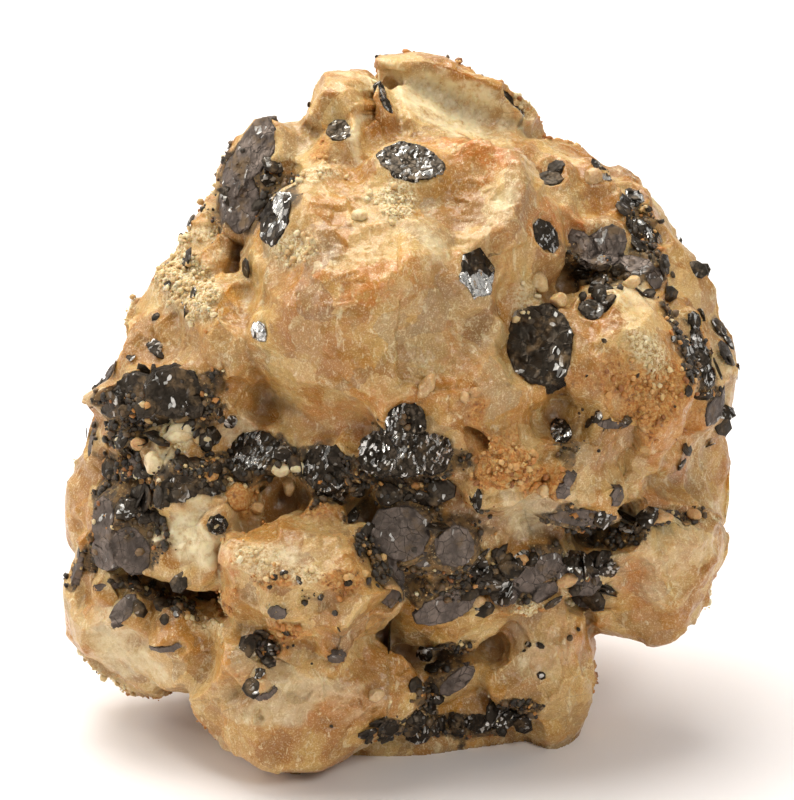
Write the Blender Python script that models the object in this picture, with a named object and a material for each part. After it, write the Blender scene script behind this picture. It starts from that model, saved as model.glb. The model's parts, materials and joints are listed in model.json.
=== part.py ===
"""A graphite specimen: tabular graphite crystals grown in a lump of honey-stained quartz and feldspar.

The matrix is one stone, a union of chiselled lumps, with a flat foot to stand on. Each graphite crystal, or
each group of crystals grown together, is a piece of its own that sits in its own seat in the stone.

The stone stands on Z = 0 and its front faces -Y. Lumps and crystals are laid out in millimetres as a person
sees them who looks at the front and a little down on it: across to the right, up, and back from its middle.
"""
import math
import random
from collections import namedtuple

import bmesh
import bpy
from mathutils import Euler, Matrix, Vector
from mathutils.bvhtree import BVHTree

MM = 0.001

# Driving dimensions
MIDDLE_HEIGHT = 25.2 * MM  # the stone's middle above its foot
MIDDLE_RIGHT = -0.21 * MM  # moves the middle so that the origin is under the centre of the stone's box
MIDDLE_BACK = -1.59 * MM
LOOK_DOWN = math.radians(20)  # the slope of the sight line that the layout is drawn along
SEAT_GAP = 0.3 * MM  # clear space round a crystal in its seat
CHIP_LOW, CHIP_HIGH = 0.78, 0.95  # how far out the flats of a lump lie, as a share of its radius
FINE_LUMP = 12.1  # lumps of a larger half width, in millimetres, start from a finer ball
BREAK_DEEP = 30 * MM  # how much a block that makes a break takes away
PLATE_THICK = 0.34  # a plate's thickness as a share of its lesser half size, between these limits
PLATE_THIN, PLATE_HEAVY = 0.55 * MM, 0.9 * MM
PLATE_RIM = 0.88  # the size of a plate's upper face against its lower one
PLATE_PROUD = 0.12 * MM  # a plate's middle above the face that it grew on
SPREAD = 0.7  # where the face under a plate is felt, as a share of its half size
RIM_LOW, RIM_HIGH = 0.90, 1.04  # how far out the corners of an uneven rim lie, as a share of the half size
LUMP_SEED, PLATE_SEED = 100, 1000
FINISHES = {  # colour, roughness and metallic value
    "stained_quartz": ((0.62, 0.42, 0.22), 0.45, 0.0),
    "bright": ((0.13, 0.13, 0.12), 0.30, 0.9),
    "dull": ((0.07, 0.065, 0.06), 0.60, 0.5),
}
FAR = 90 * MM  # further than any point of the stone

SIGHT = Vector((0, math.cos(LOOK_DOWN), -math.sin(LOOK_DOWN)))
RISE = Vector((0, math.sin(LOOK_DOWN), math.cos(LOOK_DOWN)))
RIGHT = Vector((1, 0, 0))
MIDDLE = Vector((MIDDLE_RIGHT, MIDDLE_BACK, MIDDLE_HEIGHT))
LAYOUT = Matrix((RIGHT, RISE, SIGHT)).transposed()  # turns across, up, back into X, Y, Z

# wide, tall and deep are half sizes; turn is anticlockwise as seen, lean tips the top away
Lump = namedtuple("Lump", "name across up back wide tall deep turn lean chips")

# A group lies where a sight line from this azimuth, at across and up, meets the stone, and proud of it
Group = namedtuple("Group", "name azimuth across up plates proud finish", defaults=(0, "dull"))

# dx, dy and half sizes are along the stone's face there; yaw turns the plate to its right, pitch tips it up
Plate = namedtuple("Plate", "dx dy wide tall turn yaw pitch sides", defaults=(0, 0, 0, 8))

LUMPS = [
    Lump("heart", 0.5, -3.5, 4.0, 20.0, 18.0, 14.0, 0, 0, 26),
    Lump("dome", -0.8, 8.0, -3.5, 13.0, 14.8, 12.2, 12, 14, 24),
    Lump("dome_apron", 3.0, 2.2, -5.2, 10.5, 7.2, 9.4, -14, -8, 18),
    Lump("dome_flank", 5.5, 12.0, -4.0, 7.5, 8.5, 9.0, 15, 10, 16),
    Lump("peak", -3.6, 20.2, -1.0, 4.8, 5.0, 6.0, 25, 10, 16),
    Lump("top_slab", 3.9, 22.3, 5.0, 7.6, 3.0, 7.0, -20, 25, 12),
    Lump("under_slab", 3.0, 17.5, 2.0, 8.5, 6.5, 7.5, -20, 10, 16),
    Lump("right_shoulder", 11.5, 12.2, 2.5, 8.5, 8.0, 9.0, -30, 15, 18),
    Lump("right_crest", 16.8, 13.0, 5.0, 4.6, 5.4, 6.0, 35, 0, 14),
    Lump("right_mass", 13.5, 2.5, 3.5, 12.3, 14.0, 12.5, 8, 0, 24),
    Lump("right_knee", 15.6, 2.0, -4.6, 7.0, 7.8, 7.8, 10, 0, 20),
    Lump("knee_ledge", 18.6, 4.8, -3.4, 3.4, 5.4, 5.0, 25, 0, 12),
    Lump("rusty_knob", 7.8, -4.2, -8.8, 4.4, 4.4, 5.4, -20, 0, 16),
    Lump("tan_cheek", 11.5, -5.5, -5.0, 7.8, 5.2, 7.6, 10, 0, 18),
    Lump("right_foot", 17.8, -10.6, 2.2, 7.6, 8.0, 9.0, 20, 0, 20),
    Lump("right_heel", 22.3, -5.5, 6.0, 3.8, 7.5, 6.5, 5, 0, 12),
    Lump("bottom_boss", 10.6, -19.6, 2.8, 5.8, 6.8, 7.6, 0, 0, 18),
    Lump("bottom_pebble", 0.7, -22.6, 1.0, 3.2, 3.0, 4.0, 0, 0, 14),
    Lump("foot", 2.5, -17.8, 8.0, 14.5, 9.8, 12.0, 0, 0, 22),
    Lump("base", -0.5, -24.0, 8.8, 14.5, 6.0, 10.0, 0, 8, 14),
    Lump("front_boss", -7.0, -13.2, -6.8, 7.6, 6.2, 8.0, -12, 6, 22),
    Lump("boss_rim", -4.2, -15.4, -7.8, 5.4, 3.4, 6.0, 25, 0, 14),
    Lump("chin", -7.8, -20.8, -0.9, 10.4, 6.6, 9.8, -12, -10, 22),
    Lump("left_wedge", -19.8, -16.4, 3.0, 5.6, 7.0, 8.4, 32, 0, 12),
    Lump("wedge_step", -16.0, -18.4, 0.0, 4.6, 4.6, 6.0, 10, 0, 12),
    Lump("left_mass", -15.2, -6.5, 2.5, 9.6, 10.0, 11.0, 15, 0, 22),
    Lump("left_brink", -20.8, -8.5, 3.5, 5.0, 8.5, 7.5, 0, 0, 14),
    Lump("left_quartz", -14.0, -9.2, -3.0, 5.8, 5.4, 6.0, 0, 0, 16),
    Lump("left_slope", -13.2, 3.0, 0.5, 8.6, 9.0, 9.6, -30, 10, 20),
    Lump("left_bulge", -12.2, 4.4, -5.2, 4.8, 5.2, 5.6, 0, 0, 16),
    Lump("left_roll", -16.6, 3.2, -2.2, 4.6, 5.0, 5.4, -20, 0, 14),
    Lump("left_crust", -13.4, 9.8, 1.8, 4.8, 6.4, 6.8, -10, 10, 16),
    Lump("left_shoulder", -8.6, 15.6, 0.0, 5.4, 6.4, 7.6, -25, 10, 16),
    Lump("seam_floor", 3.0, -11.0, -1.4, 12.0, 8.0, 8.4, 5, 0, 18),
    Lump("seam_rib", 0.2, -4.2, -5.6, 6.4, 4.2, 7.0, -8, 0, 16),
    Lump("left_rib", -17.6, 0.2, -1.6, 5.6, 3.4, 6.4, 8, 0, 14),
    Lump("back_upper", 1.0, 9.0, 9.0, 15.5, 12.0, 10.0, 0, 20, 24),
    Lump("back_left", -8.0, -5.0, 12.5, 14.0, 14.0, 9.5, 0, 0, 22),
    Lump("back_right", 10.0, -4.5, 12.5, 13.0, 14.0, 9.5, 0, 0, 22),
    Lump("back_ledge", 2.0, -3.0, 18.0, 11.0, 6.0, 6.5, 15, 0, 16),
    Lump("back_knob", -11.0, 5.0, 14.5, 6.5, 6.5, 7.5, 0, 0, 14),
    Lump("back_rise", 10.0, 8.0, 13.0, 7.0, 8.0, 7.5, -20, 0, 14),
    Lump("back_foot", 4.0, -15.0, 13.5, 13.0, 7.5, 7.0, 0, 0, 16),
    Lump("heel", 0.5, -21.5, 14.5, 12.5, 6.5, 8.5, 0, 0, 14),
]

# The back and foot broke flat from the vein: the way each break faces, and its distance from the middle
BREAKS = [
    ((0.05, 0.10, 0.99), 19.2),
    ((-0.58, 0.22, 0.78), 19.4),
    ((0.62, -0.10, 0.78), 20.6),
    ((0.10, 0.72, 0.69), 21.5),
    ((-0.15, -0.50, 0.85), 25.0),
]

GROUPS = [
    Group("left_shoulder_cluster", 0, -11.4, 16.2, [
        Plate(-0.5, 0.4, 2.1, 2.4, 0, -10, 8, 9),
        Plate(1.5, 2.0, 2.0, 3.0, -28, 12, 6, 9),
        Plate(-1.9, -2.0, 1.2, 2.3, -15, -30, 0),
        Plate(0.1, -1.9, 1.9, 2.5, -20, 14, -6),
    ], finish="bright"),
    Group("left_brow_plate", 0, -8.5, 13.1, [Plate(0, 0, 2.4, 2.5, 20, 0, 0, 10)], finish="bright"),
    Group("small_peak_plate", 0, -4.2, 19.4, [Plate(0, 0, 1.1, 1.5, 10)], finish="bright"),
    Group("peak_sliver", 0, -1.0, 22.3, [
        Plate(-0.3, 0.6, 0.55, 0.9, 20, 10, 0, 7),
        Plate(0.3, -0.5, 0.5, 0.9, 30, -10, 0, 7),
    ]),
    Group("crown_plate", 0, 1.0, 17.1, [Plate(0, 0, 2.9, 2.1, -20, 0, 0, 11)], finish="bright"),
    Group("slab_edge_strip", 0, 8.6, 22.2, [Plate(0, 0, 1.6, 0.6, -48, 0, 20)], finish="bright"),
    Group("upper_right_pair", 0, 11.5, 16.5, [
        Plate(-0.1, -0.5, 1.2, 1.1, 0, 8, 0),
        Plate(0.4, 0.9, 0.9, 0.9, 0, -8, 10, 7),
    ], finish="bright"),
    Group("right_edge_sliver", 0, 15.1, 17.0, [Plate(0, 0, 0.6, 1.6, 32, -15)]),
    Group("right_peak_cluster", 0, 17.7, 14.0, [
        Plate(-0.6, -0.1, 0.9, 1.7, 28, 15, 0),
        Plate(0.1, 1.7, 0.9, 1.2, 10, -15, 20),
        Plate(0.5, -1.4, 1.2, 0.9, 0, -10, -20, 7),
        Plate(1.8, -1.5, 1.0, 0.8, 0, 10, 0, 7),
    ]),
    Group("striated_plate", 0, 10.7, 11.8, [Plate(0, 0, 1.4, 1.6, 30)], finish="bright"),
    Group("right_ledge_cluster", 0, 15.6, 10.4, [
        Plate(-0.9, -0.3, 1.7, 1.0, 5, 0, 35),
        Plate(0.0, 1.3, 1.6, 1.4, 0, 10, -10),
        Plate(-2.2, 0.8, 0.9, 1.6, 30, -20, 0),
        Plate(1.7, -0.6, 1.9, 1.1, -10, -10, 30),
        Plate(3.3, -1.5, 0.8, 1.1, 10, 10, 0, 7),
    ], 0.5, finish="bright"),
    Group("hexagonal_plate", 0, 5.6, 9.0, [Plate(0, 0, 1.8, 2.3, -8, 0, 0, 6)], finish="bright"),
    Group("round_plate_pair", 0, 14.3, 6.6, [
        Plate(-0.2, -0.2, 1.2, 1.15, 0, 8, 5),
        Plate(1.1, 0.6, 0.8, 0.6, 30, -15, 10, 7),
    ]),
    Group("broad_plate", 0, 11.5, 3.5, [Plate(0, 0, 2.9, 3.6, 12, 20, 0, 12)], 1.5, finish="bright"),
    Group("right_edge_cluster", 0, 22.2, 3.2, [
        Plate(0.1, 0.0, 0.9, 1.4, 30, -15, 0),
        Plate(-0.5, 1.5, 0.8, 1.0, 10, 15, 0, 7),
        Plate(-0.6, 2.7, 0.8, 0.8, 0, 5, 15, 7),
        Plate(0.7, -1.5, 0.8, 1.1, 20, 10, 0, 7),
    ]),
    Group("cheek_plate", 0, 11.9, -2.4, [Plate(0, 0, 0.95, 1.35, 15)]),
    Group("cheek_strip", 0, 15.6, -1.7, [Plate(0, 0, 1.4, 0.45, -5, 0, 20, 7)]),
    Group("silver_plate", 0, -9.7, 5.0, [Plate(0, 0, 1.0, 0.95)], finish="bright"),
    Group("cheek_twins", 0, 12.2, -6.1, [
        Plate(0.25, 0.55, 0.5, 0.7, -15, 0, 0, 7),
        Plate(-0.2, -0.45, 0.7, 0.8, -15, 8, 0, 7),
    ]),
    Group("left_upper_cluster", 0, -17.9, 0.0, [
        Plate(1.5, 0.5, 2.5, 2.1, 0, 16, 12, 10),
        Plate(-1.5, 0.3, 2.3, 1.4, 20, -12, 15),
        Plate(-0.5, -1.5, 2.0, 1.2, 12, 6, -20),
        Plate(-3.5, -1.1, 1.5, 1.2, 45, -20),
    ], 0.5, finish="bright"),
    Group("left_rim_blade", 0, -22.2, -2.2, [Plate(0, 0, 1.0, 2.8, -38, -10, 0)], 0.4),
    Group("left_small_plate", 0, -19.6, -5.0, [Plate(0, 0, 1.0, 0.9, 0, 10)]),
    Group("left_seam_cluster", 0, -15.1, -5.6, [
        Plate(0.3, 0.7, 2.5, 1.3, 10, 0, 30),
        Plate(-0.8, -0.8, 1.8, 1.3, 15, 0, -12),
        Plate(1.5, -0.6, 1.3, 1.0, 0, 14),
    ]),
    Group("seam_round_plate", 0, -10.4, -3.9, [
        Plate(0, 0.1, 2.4, 1.9, 0, 5, 15, 11),
        Plate(-1.2, -1.6, 1.2, 0.9, 30, -15, -15, 7),
    ], finish="bright"),
    Group("seam_knob_plate", 0, -13.1, -9.1, [Plate(0, 0, 0.85, 0.9)], finish="bright"),
    Group("scratched_plate", 0, -5.2, -5.1, [
        Plate(0, 0.2, 2.1, 2.1, 15, -6, 12, 10),
        Plate(0.5, -1.6, 1.4, 1.2, 0, 10, -20),
    ], finish="bright"),
    Group("centre_cluster", 0, 0.5, -3.4, [
        Plate(-0.1, -0.6, 2.0, 1.9, 0, 0, 0),
        Plate(0.0, 1.8, 1.9, 1.7, 10, 0, -4, 10),
        Plate(-2.0, -0.5, 1.7, 1.9, 10, -16, -6),
        Plate(1.9, -0.4, 1.8, 1.8, 0, 16, -6),
    ], 1.0, finish="bright"),
    Group("lower_cluster", 0, 0.8, -10.2, [
        Plate(-0.6, 0.8, 2.5, 2.4, 10, -8, 14, 10),
        Plate(3.3, -0.3, 1.8, 1.8, 0, 12, 8, 10),
        Plate(1.2, -0.5, 1.9, 1.6, 0, 0, -14),
        Plate(-1.7, -2.3, 1.4, 2.8, 12, -24, 0),
    ], 0.7),
    Group("low_blade_plate", 0, 3.6, -15.1, [Plate(0, 0, 2.9, 1.4, 14, 8, 18, 10)]),
    Group("right_seam_cluster", 0, 10.2, -12.9, [
        Plate(-0.9, -0.1, 1.5, 1.4, 0, -12, 0),
        Plate(0.8, 0.8, 1.5, 1.1, 30, 10, 12),
        Plate(0.6, -1.2, 1.4, 1.0, 20, 20, -12),
        Plate(-2.3, -1.3, 1.2, 1.0, 10, -25, -10),
        Plate(2.4, 0.2, 1.3, 1.1, -20, -15, 20),
        Plate(3.8, -0.9, 1.4, 1.1, 15, 10, 8),
    ], 0.4),
    Group("right_seam_tail", 0, 14.0, -15.3, [Plate(0, 0, 1.3, 1.0, 0, 15, -20)]),
    Group("seam_ridge_blade", 0, 13.6, -8.8, [Plate(0, 0, 2.8, 0.8, -14, 0, 35)]),
    Group("arrow_plate", 0, 15.8, -6.9, [Plate(0, 0, 0.75, 1.05, 15, 0, 0, 6)]),
    Group("right_seam_slivers", 0, 19.6, -8.7, [
        Plate(-0.7, -0.2, 1.0, 0.6, 20, 0, 20, 7),
        Plate(0.6, 0.3, 1.2, 0.5, 20, 10, 0, 7),
    ]),
    Group("left_lower_cluster", 0, -19.9, -10.2, [
        Plate(1.1, -0.7, 1.7, 2.2, 25, 16, 0, 10),
        Plate(-1.3, 1.1, 1.5, 2.4, 8, -16, 6),
        Plate(-1.3, -1.2, 1.7, 1.5, 0, -20, -14),
    ], 0.8),
    Group("left_hem_blade", 0, -23.7, -12.5, [Plate(0, 0, 0.6, 2.1, -42, -25)]),
    Group("wedge_plate", 0, -20.2, -15.5, [Plate(0, 0, 0.9, 1.7, -38)]),
    Group("wedge_step_plate", 0, -17.1, -17.9, [Plate(0, 0, 1.8, 0.9, -22, 0, 15)]),
    Group("boss_low_plate", 0, -8.6, -15.2, [Plate(0, 0, 0.85, 0.6, 0, 0, 10)]),
    Group("boss_rim_plate", 0, -4.4, -18.6, [Plate(0, 0, 0.9, 0.6, 35)]),
    Group("chin_plate", 0, -9.8, -20.9, [Plate(0, 0, 1.4, 1.1, -15, 0, 10)]),
    Group("chin_small_plate", 0, -9.4, -18.4, [Plate(0, 0, 0.9, 0.95, 0, 10, 0)]),
    Group("left_hem_strip", 0, -21.4, -13.8, [Plate(0, 0, 1.3, 0.5, 8, 0, 20)]),
    Group("bottom_blade", 0, 4.4, -20.9, [Plate(0, 0, 0.9, 1.9, -50)]),
    Group("foot_cluster", 0, 6.9, -23.9, [
        Plate(-0.8, 0.0, 1.5, 1.0, 0, -8),
        Plate(1.0, 0.2, 1.3, 1.0, 20, 10, 10),
    ]),
    Group("right_side_plate", -80, 12.0, -1.0, [Plate(0, 0, 2.0, 2.2, 0, 0, 0, 10)], finish="bright"),
    Group("right_side_pair", -80, 2.0, -8.0, [
        Plate(-0.6, 0, 1.5, 1.3, 0, -10, 0),
        Plate(0.9, 0.5, 1.1, 1.2, 0, 12),
    ]),
    Group("left_side_plate", 75, -9.0, 2.0, [Plate(0, 0, 1.7, 2.0, 15)], finish="bright"),
    Group("left_side_pair", 75, -5.5, -5.0, [
        Plate(-0.7, 0.2, 1.6, 1.4, 0, -12, 6),
        Plate(1.0, -0.3, 1.2, 1.1, 20, 12),
    ]),
    Group("back_hexagonal_plate", 180, -5.0, 6.0, [Plate(0, 0, 2.4, 2.5, 10, 0, 0, 6)], finish="bright"),
    Group("back_round_plate", 180, 8.0, 1.0, [Plate(0, 0, 2.0, 1.8, 0, 0, 0, 10)]),
    Group("back_seam_cluster", 180, 1.0, -6.0, [
        Plate(-1.6, 0.2, 1.9, 1.5, 10, -10, 14),
        Plate(0.8, -0.4, 1.8, 1.7, 0, 12, -8),
        Plate(2.8, 0.5, 1.5, 1.1, 20, -8, 14),
    ], finish="bright"),
    Group("back_small_plate", 180, -11.0, -8.0, [Plate(0, 0, 1.3, 1.5, 20)]),
    Group("back_crest_plate", 165, -4.0, 16.0, [Plate(0, 0, 1.6, 1.3, -10)]),
    Group("back_low_pair", 200, -7.0, -13.0, [
        Plate(-0.6, 0.1, 1.3, 1.1, 0, -10),
        Plate(0.8, 0.2, 1.2, 1.3, 10, 12),
    ]),
]


def place(across, up, back):
    """The point of the stone's frame at this place in the layout, which is in millimetres."""
    return MIDDLE + MM * (across * RIGHT + up * RISE + back * SIGHT)


def clear_scene():
    for obj in list(bpy.data.objects):
        bpy.data.objects.remove(obj, do_unlink=True)


def collection(name, shown, under=None):
    made = bpy.data.collections.new(name)
    made.hide_render = not shown
    (under or bpy.context.scene.collection).children.link(made)
    return made


def material(name, finish):
    made = bpy.data.materials.new(name)
    colour, roughness, metallic = FINISHES[finish]
    made.use_nodes = True
    shader = made.node_tree.nodes["Principled BSDF"]
    shader.inputs["Base Color"].default_value = (*colour, 1)
    shader.inputs["Roughness"].default_value = roughness
    shader.inputs["Metallic"].default_value = metallic
    return made


def mesh_object(name, bm, into):
    mesh = bpy.data.meshes.new(name)
    bm.to_mesh(mesh)
    bm.free()
    made = bpy.data.objects.new(name, mesh)
    into.objects.link(made)
    return made


def chips(seed, count):
    """Flats that are struck off a unit ball: for each, the way it faces and its distance from the centre."""
    rng = random.Random(seed)
    flats = []
    for _ in range(count):
        z = rng.uniform(-1, 1)
        t = rng.uniform(0, math.tau)
        s = math.sqrt(1 - z * z)
        flats.append((Vector((s * math.cos(t), s * math.sin(t), z)), rng.uniform(CHIP_LOW, CHIP_HIGH)))
    return flats


def lump_matrix(lump):
    spin = Matrix.Rotation(math.radians(lump.turn), 4, "Z") @ Matrix.Rotation(math.radians(lump.lean), 4, "X")
    size = Matrix.Diagonal((lump.wide * MM, lump.tall * MM, lump.deep * MM, 1))
    return Matrix.Translation(place(lump.across, lump.up, lump.back)) @ LAYOUT.to_4x4() @ spin @ size


def chiselled_lump(lump, seed, into):
    bm = bmesh.new()
    bmesh.ops.create_icosphere(bm, subdivisions=2 if lump.wide > FINE_LUMP else 1, radius=1)
    for normal, distance in chips(seed, lump.chips):
        cut = bmesh.ops.bisect_plane(
            bm, geom=bm.verts[:] + bm.edges[:] + bm.faces[:],
            plane_co=normal * distance, plane_no=normal, clear_outer=True,
        )
        edges = [e for e in cut["geom_cut"] if isinstance(e, bmesh.types.BMEdge)]
        if edges:
            bmesh.ops.contextual_create(bm, geom=edges)
    bmesh.ops.recalc_face_normals(bm, faces=bm.faces)
    bm.transform(lump_matrix(lump))
    bmesh.ops.reverse_faces(bm, faces=bm.faces)  # because the layout is left-handed
    return mesh_object(lump.name, bm, into)


def add_boolean(obj, others, operation):
    """One exact Boolean step against every object of a collection."""
    step = obj.modifiers.new(others.name, "BOOLEAN")
    step.operation = operation
    step.solver = "EXACT"
    step.operand_type = "COLLECTION"
    step.collection = others


def settle(obj):
    """Applies what the modifiers make of an object to its mesh."""
    graph = bpy.context.evaluated_depsgraph_get()
    mesh = bpy.data.meshes.new_from_object(obj.evaluated_get(graph))
    obj.modifiers.clear()
    obj.data = mesh


def block(name, facing, distance, into):
    """A block with its near face at this distance from the middle. It cuts away what is beyond that face."""
    bm = bmesh.new()
    bmesh.ops.create_cube(bm, size=1)
    direction = (LAYOUT @ Vector(facing)).normalized()
    size = Matrix.Diagonal((2 * FAR, 2 * FAR, BREAK_DEEP, 1))
    centre = MIDDLE + direction * (distance * MM + BREAK_DEEP / 2)
    bm.transform(Matrix.Translation(centre) @ direction.to_track_quat("Z", "Y").to_matrix().to_4x4() @ size)
    return mesh_object(name, bm, into)


def ground_block(into):
    bm = bmesh.new()
    bmesh.ops.create_cube(bm, size=2 * FAR)
    bm.transform(Matrix.Translation((0, 0, -FAR)))
    return mesh_object("ground", bm, into)


def stone(shown, cutters):
    """The union of the lumps, less what lies beyond each break and below the ground."""
    lumps = collection("lumps", False, cutters)
    beyond = collection("beyond_the_breaks", False, cutters)
    for i, lump in enumerate(LUMPS):
        made = chiselled_lump(lump, LUMP_SEED + i, lumps if i else shown)
        if i == 0:
            matrix = made
    matrix.name = "matrix"
    for i, (facing, distance) in enumerate(BREAKS):
        block(f"break_{i + 1}", facing, distance, beyond)
    ground_block(beyond)
    add_boolean(matrix, lumps, "UNION")
    settle(matrix)
    add_boolean(matrix, beyond, "DIFFERENCE")
    settle(matrix)
    return matrix


def looking_from(azimuth):
    """Right, up and along the sight line of a person who has walked this far round the stone."""
    return Matrix.Rotation(math.radians(-azimuth), 3, "Z") @ LAYOUT


def felt(tree, view, across, up):
    """Where a sight line meets the stone, and the way the stone faces there."""
    start = MIDDLE + view @ Vector((across * MM, up * MM, -FAR))
    point, normal, _, _ = tree.ray_cast(start, view @ Vector((0, 0, 1)))
    return point, normal


def seat_frame(tree, group):
    """The middle of the stone's face under a group of crystals, and axes along it: right, up and outwards."""
    view = looking_from(group.azimuth)
    wide = SPREAD * max(abs(p.dx) + p.wide for p in group.plates)
    tall = SPREAD * max(abs(p.dy) + p.tall for p in group.plates)
    spots = [(0, 0), (wide, 0), (-wide, 0), (0, tall), (0, -tall)]
    hits = [felt(tree, view, group.across + x, group.up + y) for x, y in spots]
    hits = [hit for hit in hits if hit[0] is not None]
    reach = 2 * max(wide, tall) * MM
    near = [hit for hit in hits if (hit[0] - hits[0][0]).length < reach]
    outward = sum((normal for _, normal in near), Vector()).normalized()
    middle = sum(((point - hits[0][0]).dot(outward) for point, _ in near), 0.0) / len(near)
    across = view @ Vector((1, 0, 0))
    across = (across - outward * across.dot(outward)).normalized()
    axes = Matrix((across, outward.cross(across), outward)).transposed()
    return hits[0][0] + outward * middle, axes


def plate_mesh(plate, seed, spare):
    """A tabular crystal: a prism with six or more sides, its rim uneven and its upper face a little smaller.
    spare is added all round, for the seat."""
    rng = random.Random(seed)
    bm = bmesh.new()
    thick = min(max(PLATE_THICK * min(plate.wide, plate.tall) * MM, PLATE_THIN), PLATE_HEAVY)
    bmesh.ops.create_cone(bm, cap_ends=True, segments=plate.sides, radius1=1, radius2=PLATE_RIM, depth=1)
    uneven = [rng.uniform(RIM_LOW, RIM_HIGH) if plate.sides > 6 else 1.0 for _ in range(plate.sides)]
    for vert in bm.verts:
        turn = math.atan2(vert.co.y, vert.co.x)
        side = round(turn / math.tau * plate.sides) % plate.sides
        vert.co.x *= plate.wide * MM * uneven[side] + spare
        vert.co.y *= plate.tall * MM * uneven[side] + spare
        vert.co.z *= thick + 2 * spare
    spin = Euler((math.radians(-plate.pitch), math.radians(plate.yaw), 0)).to_matrix()
    spin = spin @ Matrix.Rotation(math.radians(plate.turn), 3, "Z")
    bm.transform(Matrix.Translation((plate.dx * MM, plate.dy * MM, PLATE_PROUD)) @ spin.to_4x4())
    return bm


def crystal_group(group, index, tree, shown, seats, cutters):
    """The group's solid, its plates joined. A cutter a little larger than each plate goes into seats."""
    centre, axes = seat_frame(tree, group)
    centre += axes.col[2] * group.proud * MM
    to_place = Matrix.Translation(centre) @ axes.to_4x4()
    rest = collection(group.name + "_plates", False, cutters)
    for i, plate in enumerate(group.plates):
        seed = PLATE_SEED + 10 * index + i
        grown = plate_mesh(plate, seed, 0.0)
        grown.transform(to_place)
        if i == 0:
            crystal = mesh_object(group.name, grown, shown)
        else:
            mesh_object(f"{group.name}_plate_{i + 1}", grown, rest)
        spared = plate_mesh(plate, seed, SEAT_GAP)
        spared.transform(to_place)
        mesh_object(f"{group.name}_seat_{i + 1}", spared, seats)
    if len(group.plates) > 1:
        add_boolean(crystal, rest, "UNION")
        settle(crystal)
    return crystal


def drop_loose_chips(obj):
    """Keeps the largest connected body of a mesh, where a seat has cut a chip loose from the stone."""
    bm = bmesh.new()
    bm.from_mesh(obj.data)
    left, bodies = set(bm.verts), []
    while left:
        body, edge = set(), [left.pop()]
        while edge:
            vert = edge.pop()
            body.add(vert)
            near = {e.other_vert(vert) for e in vert.link_edges} & left
            left -= near
            edge.extend(near)
        bodies.append(body)
    bodies.sort(key=len)
    for body in bodies[:-1]:
        bmesh.ops.delete(bm, geom=list(body), context="VERTS")
    bm.to_mesh(obj.data)
    bm.free()


def main():
    clear_scene()
    shown = collection("graphite_specimen", True)
    cutters = collection("cutters", False)
    seats = collection("seats", False, cutters)
    matrix = stone(shown, cutters)
    bm = bmesh.new()
    bm.from_mesh(matrix.data)
    tree = BVHTree.FromBMesh(bm)
    bm.free()
    for index, group in enumerate(GROUPS):
        crystal = crystal_group(group, index, tree, shown, seats, cutters)
        crystal.data.materials.clear()
        crystal.data.materials.append(material(group.name, group.finish))
    add_boolean(matrix, seats, "DIFFERENCE")
    settle(matrix)
    drop_loose_chips(matrix)
    matrix.data.materials.clear()
    matrix.data.materials.append(material("matrix", "stained_quartz"))
    for obj in cutters.all_objects:
        obj.hide_render = True
        obj.display_type = "WIRE"


main()
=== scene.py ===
"""The looks of a graphite specimen: plates of graphite in a lump of honey-stained quartz and feldspar.

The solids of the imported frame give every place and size. The stone is grown from the same chiselled lumps
as its solid and gets its fine relief here. Each graphite crystal starts from its own solid, gets a worn rim,
thin leaves and broken terraces, and stands for it. Lengths are millimetres until a mesh is made.
"""
import json
import math
import random
from collections import namedtuple

import bpy
import numpy as np
from bpy.props import FloatProperty, FloatVectorProperty, IntProperty, PointerProperty
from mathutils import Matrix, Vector


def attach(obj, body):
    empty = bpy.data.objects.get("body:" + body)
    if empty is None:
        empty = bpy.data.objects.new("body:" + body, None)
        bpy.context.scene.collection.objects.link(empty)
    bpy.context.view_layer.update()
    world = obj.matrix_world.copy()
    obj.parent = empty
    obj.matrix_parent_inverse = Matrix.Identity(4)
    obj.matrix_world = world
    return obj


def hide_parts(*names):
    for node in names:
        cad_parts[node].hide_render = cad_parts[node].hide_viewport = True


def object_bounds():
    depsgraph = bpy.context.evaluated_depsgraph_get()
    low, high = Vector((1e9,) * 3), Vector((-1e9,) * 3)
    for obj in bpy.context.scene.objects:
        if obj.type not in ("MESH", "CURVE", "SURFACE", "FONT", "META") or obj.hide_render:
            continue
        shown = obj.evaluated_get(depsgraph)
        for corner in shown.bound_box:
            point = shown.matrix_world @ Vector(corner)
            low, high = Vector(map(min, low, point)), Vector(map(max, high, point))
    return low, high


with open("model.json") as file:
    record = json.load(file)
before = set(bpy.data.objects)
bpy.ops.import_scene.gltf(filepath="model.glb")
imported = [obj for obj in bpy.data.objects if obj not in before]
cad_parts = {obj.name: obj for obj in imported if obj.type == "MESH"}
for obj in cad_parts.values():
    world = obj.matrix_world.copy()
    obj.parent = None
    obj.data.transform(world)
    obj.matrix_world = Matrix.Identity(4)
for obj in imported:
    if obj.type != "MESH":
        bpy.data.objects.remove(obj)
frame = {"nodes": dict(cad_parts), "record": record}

bl_info = {
    "name": "Graphite Specimen",
    "version": (1, 0, 0),
    "blender": (4, 5, 0),
    "location": "3D View > Sidebar > Specimen",
    "description": "Builds the finished surfaces of a graphite specimen round its solids",
    "category": "Add Mesh",
}

CAD_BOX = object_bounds()
MM = 0.001

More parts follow.
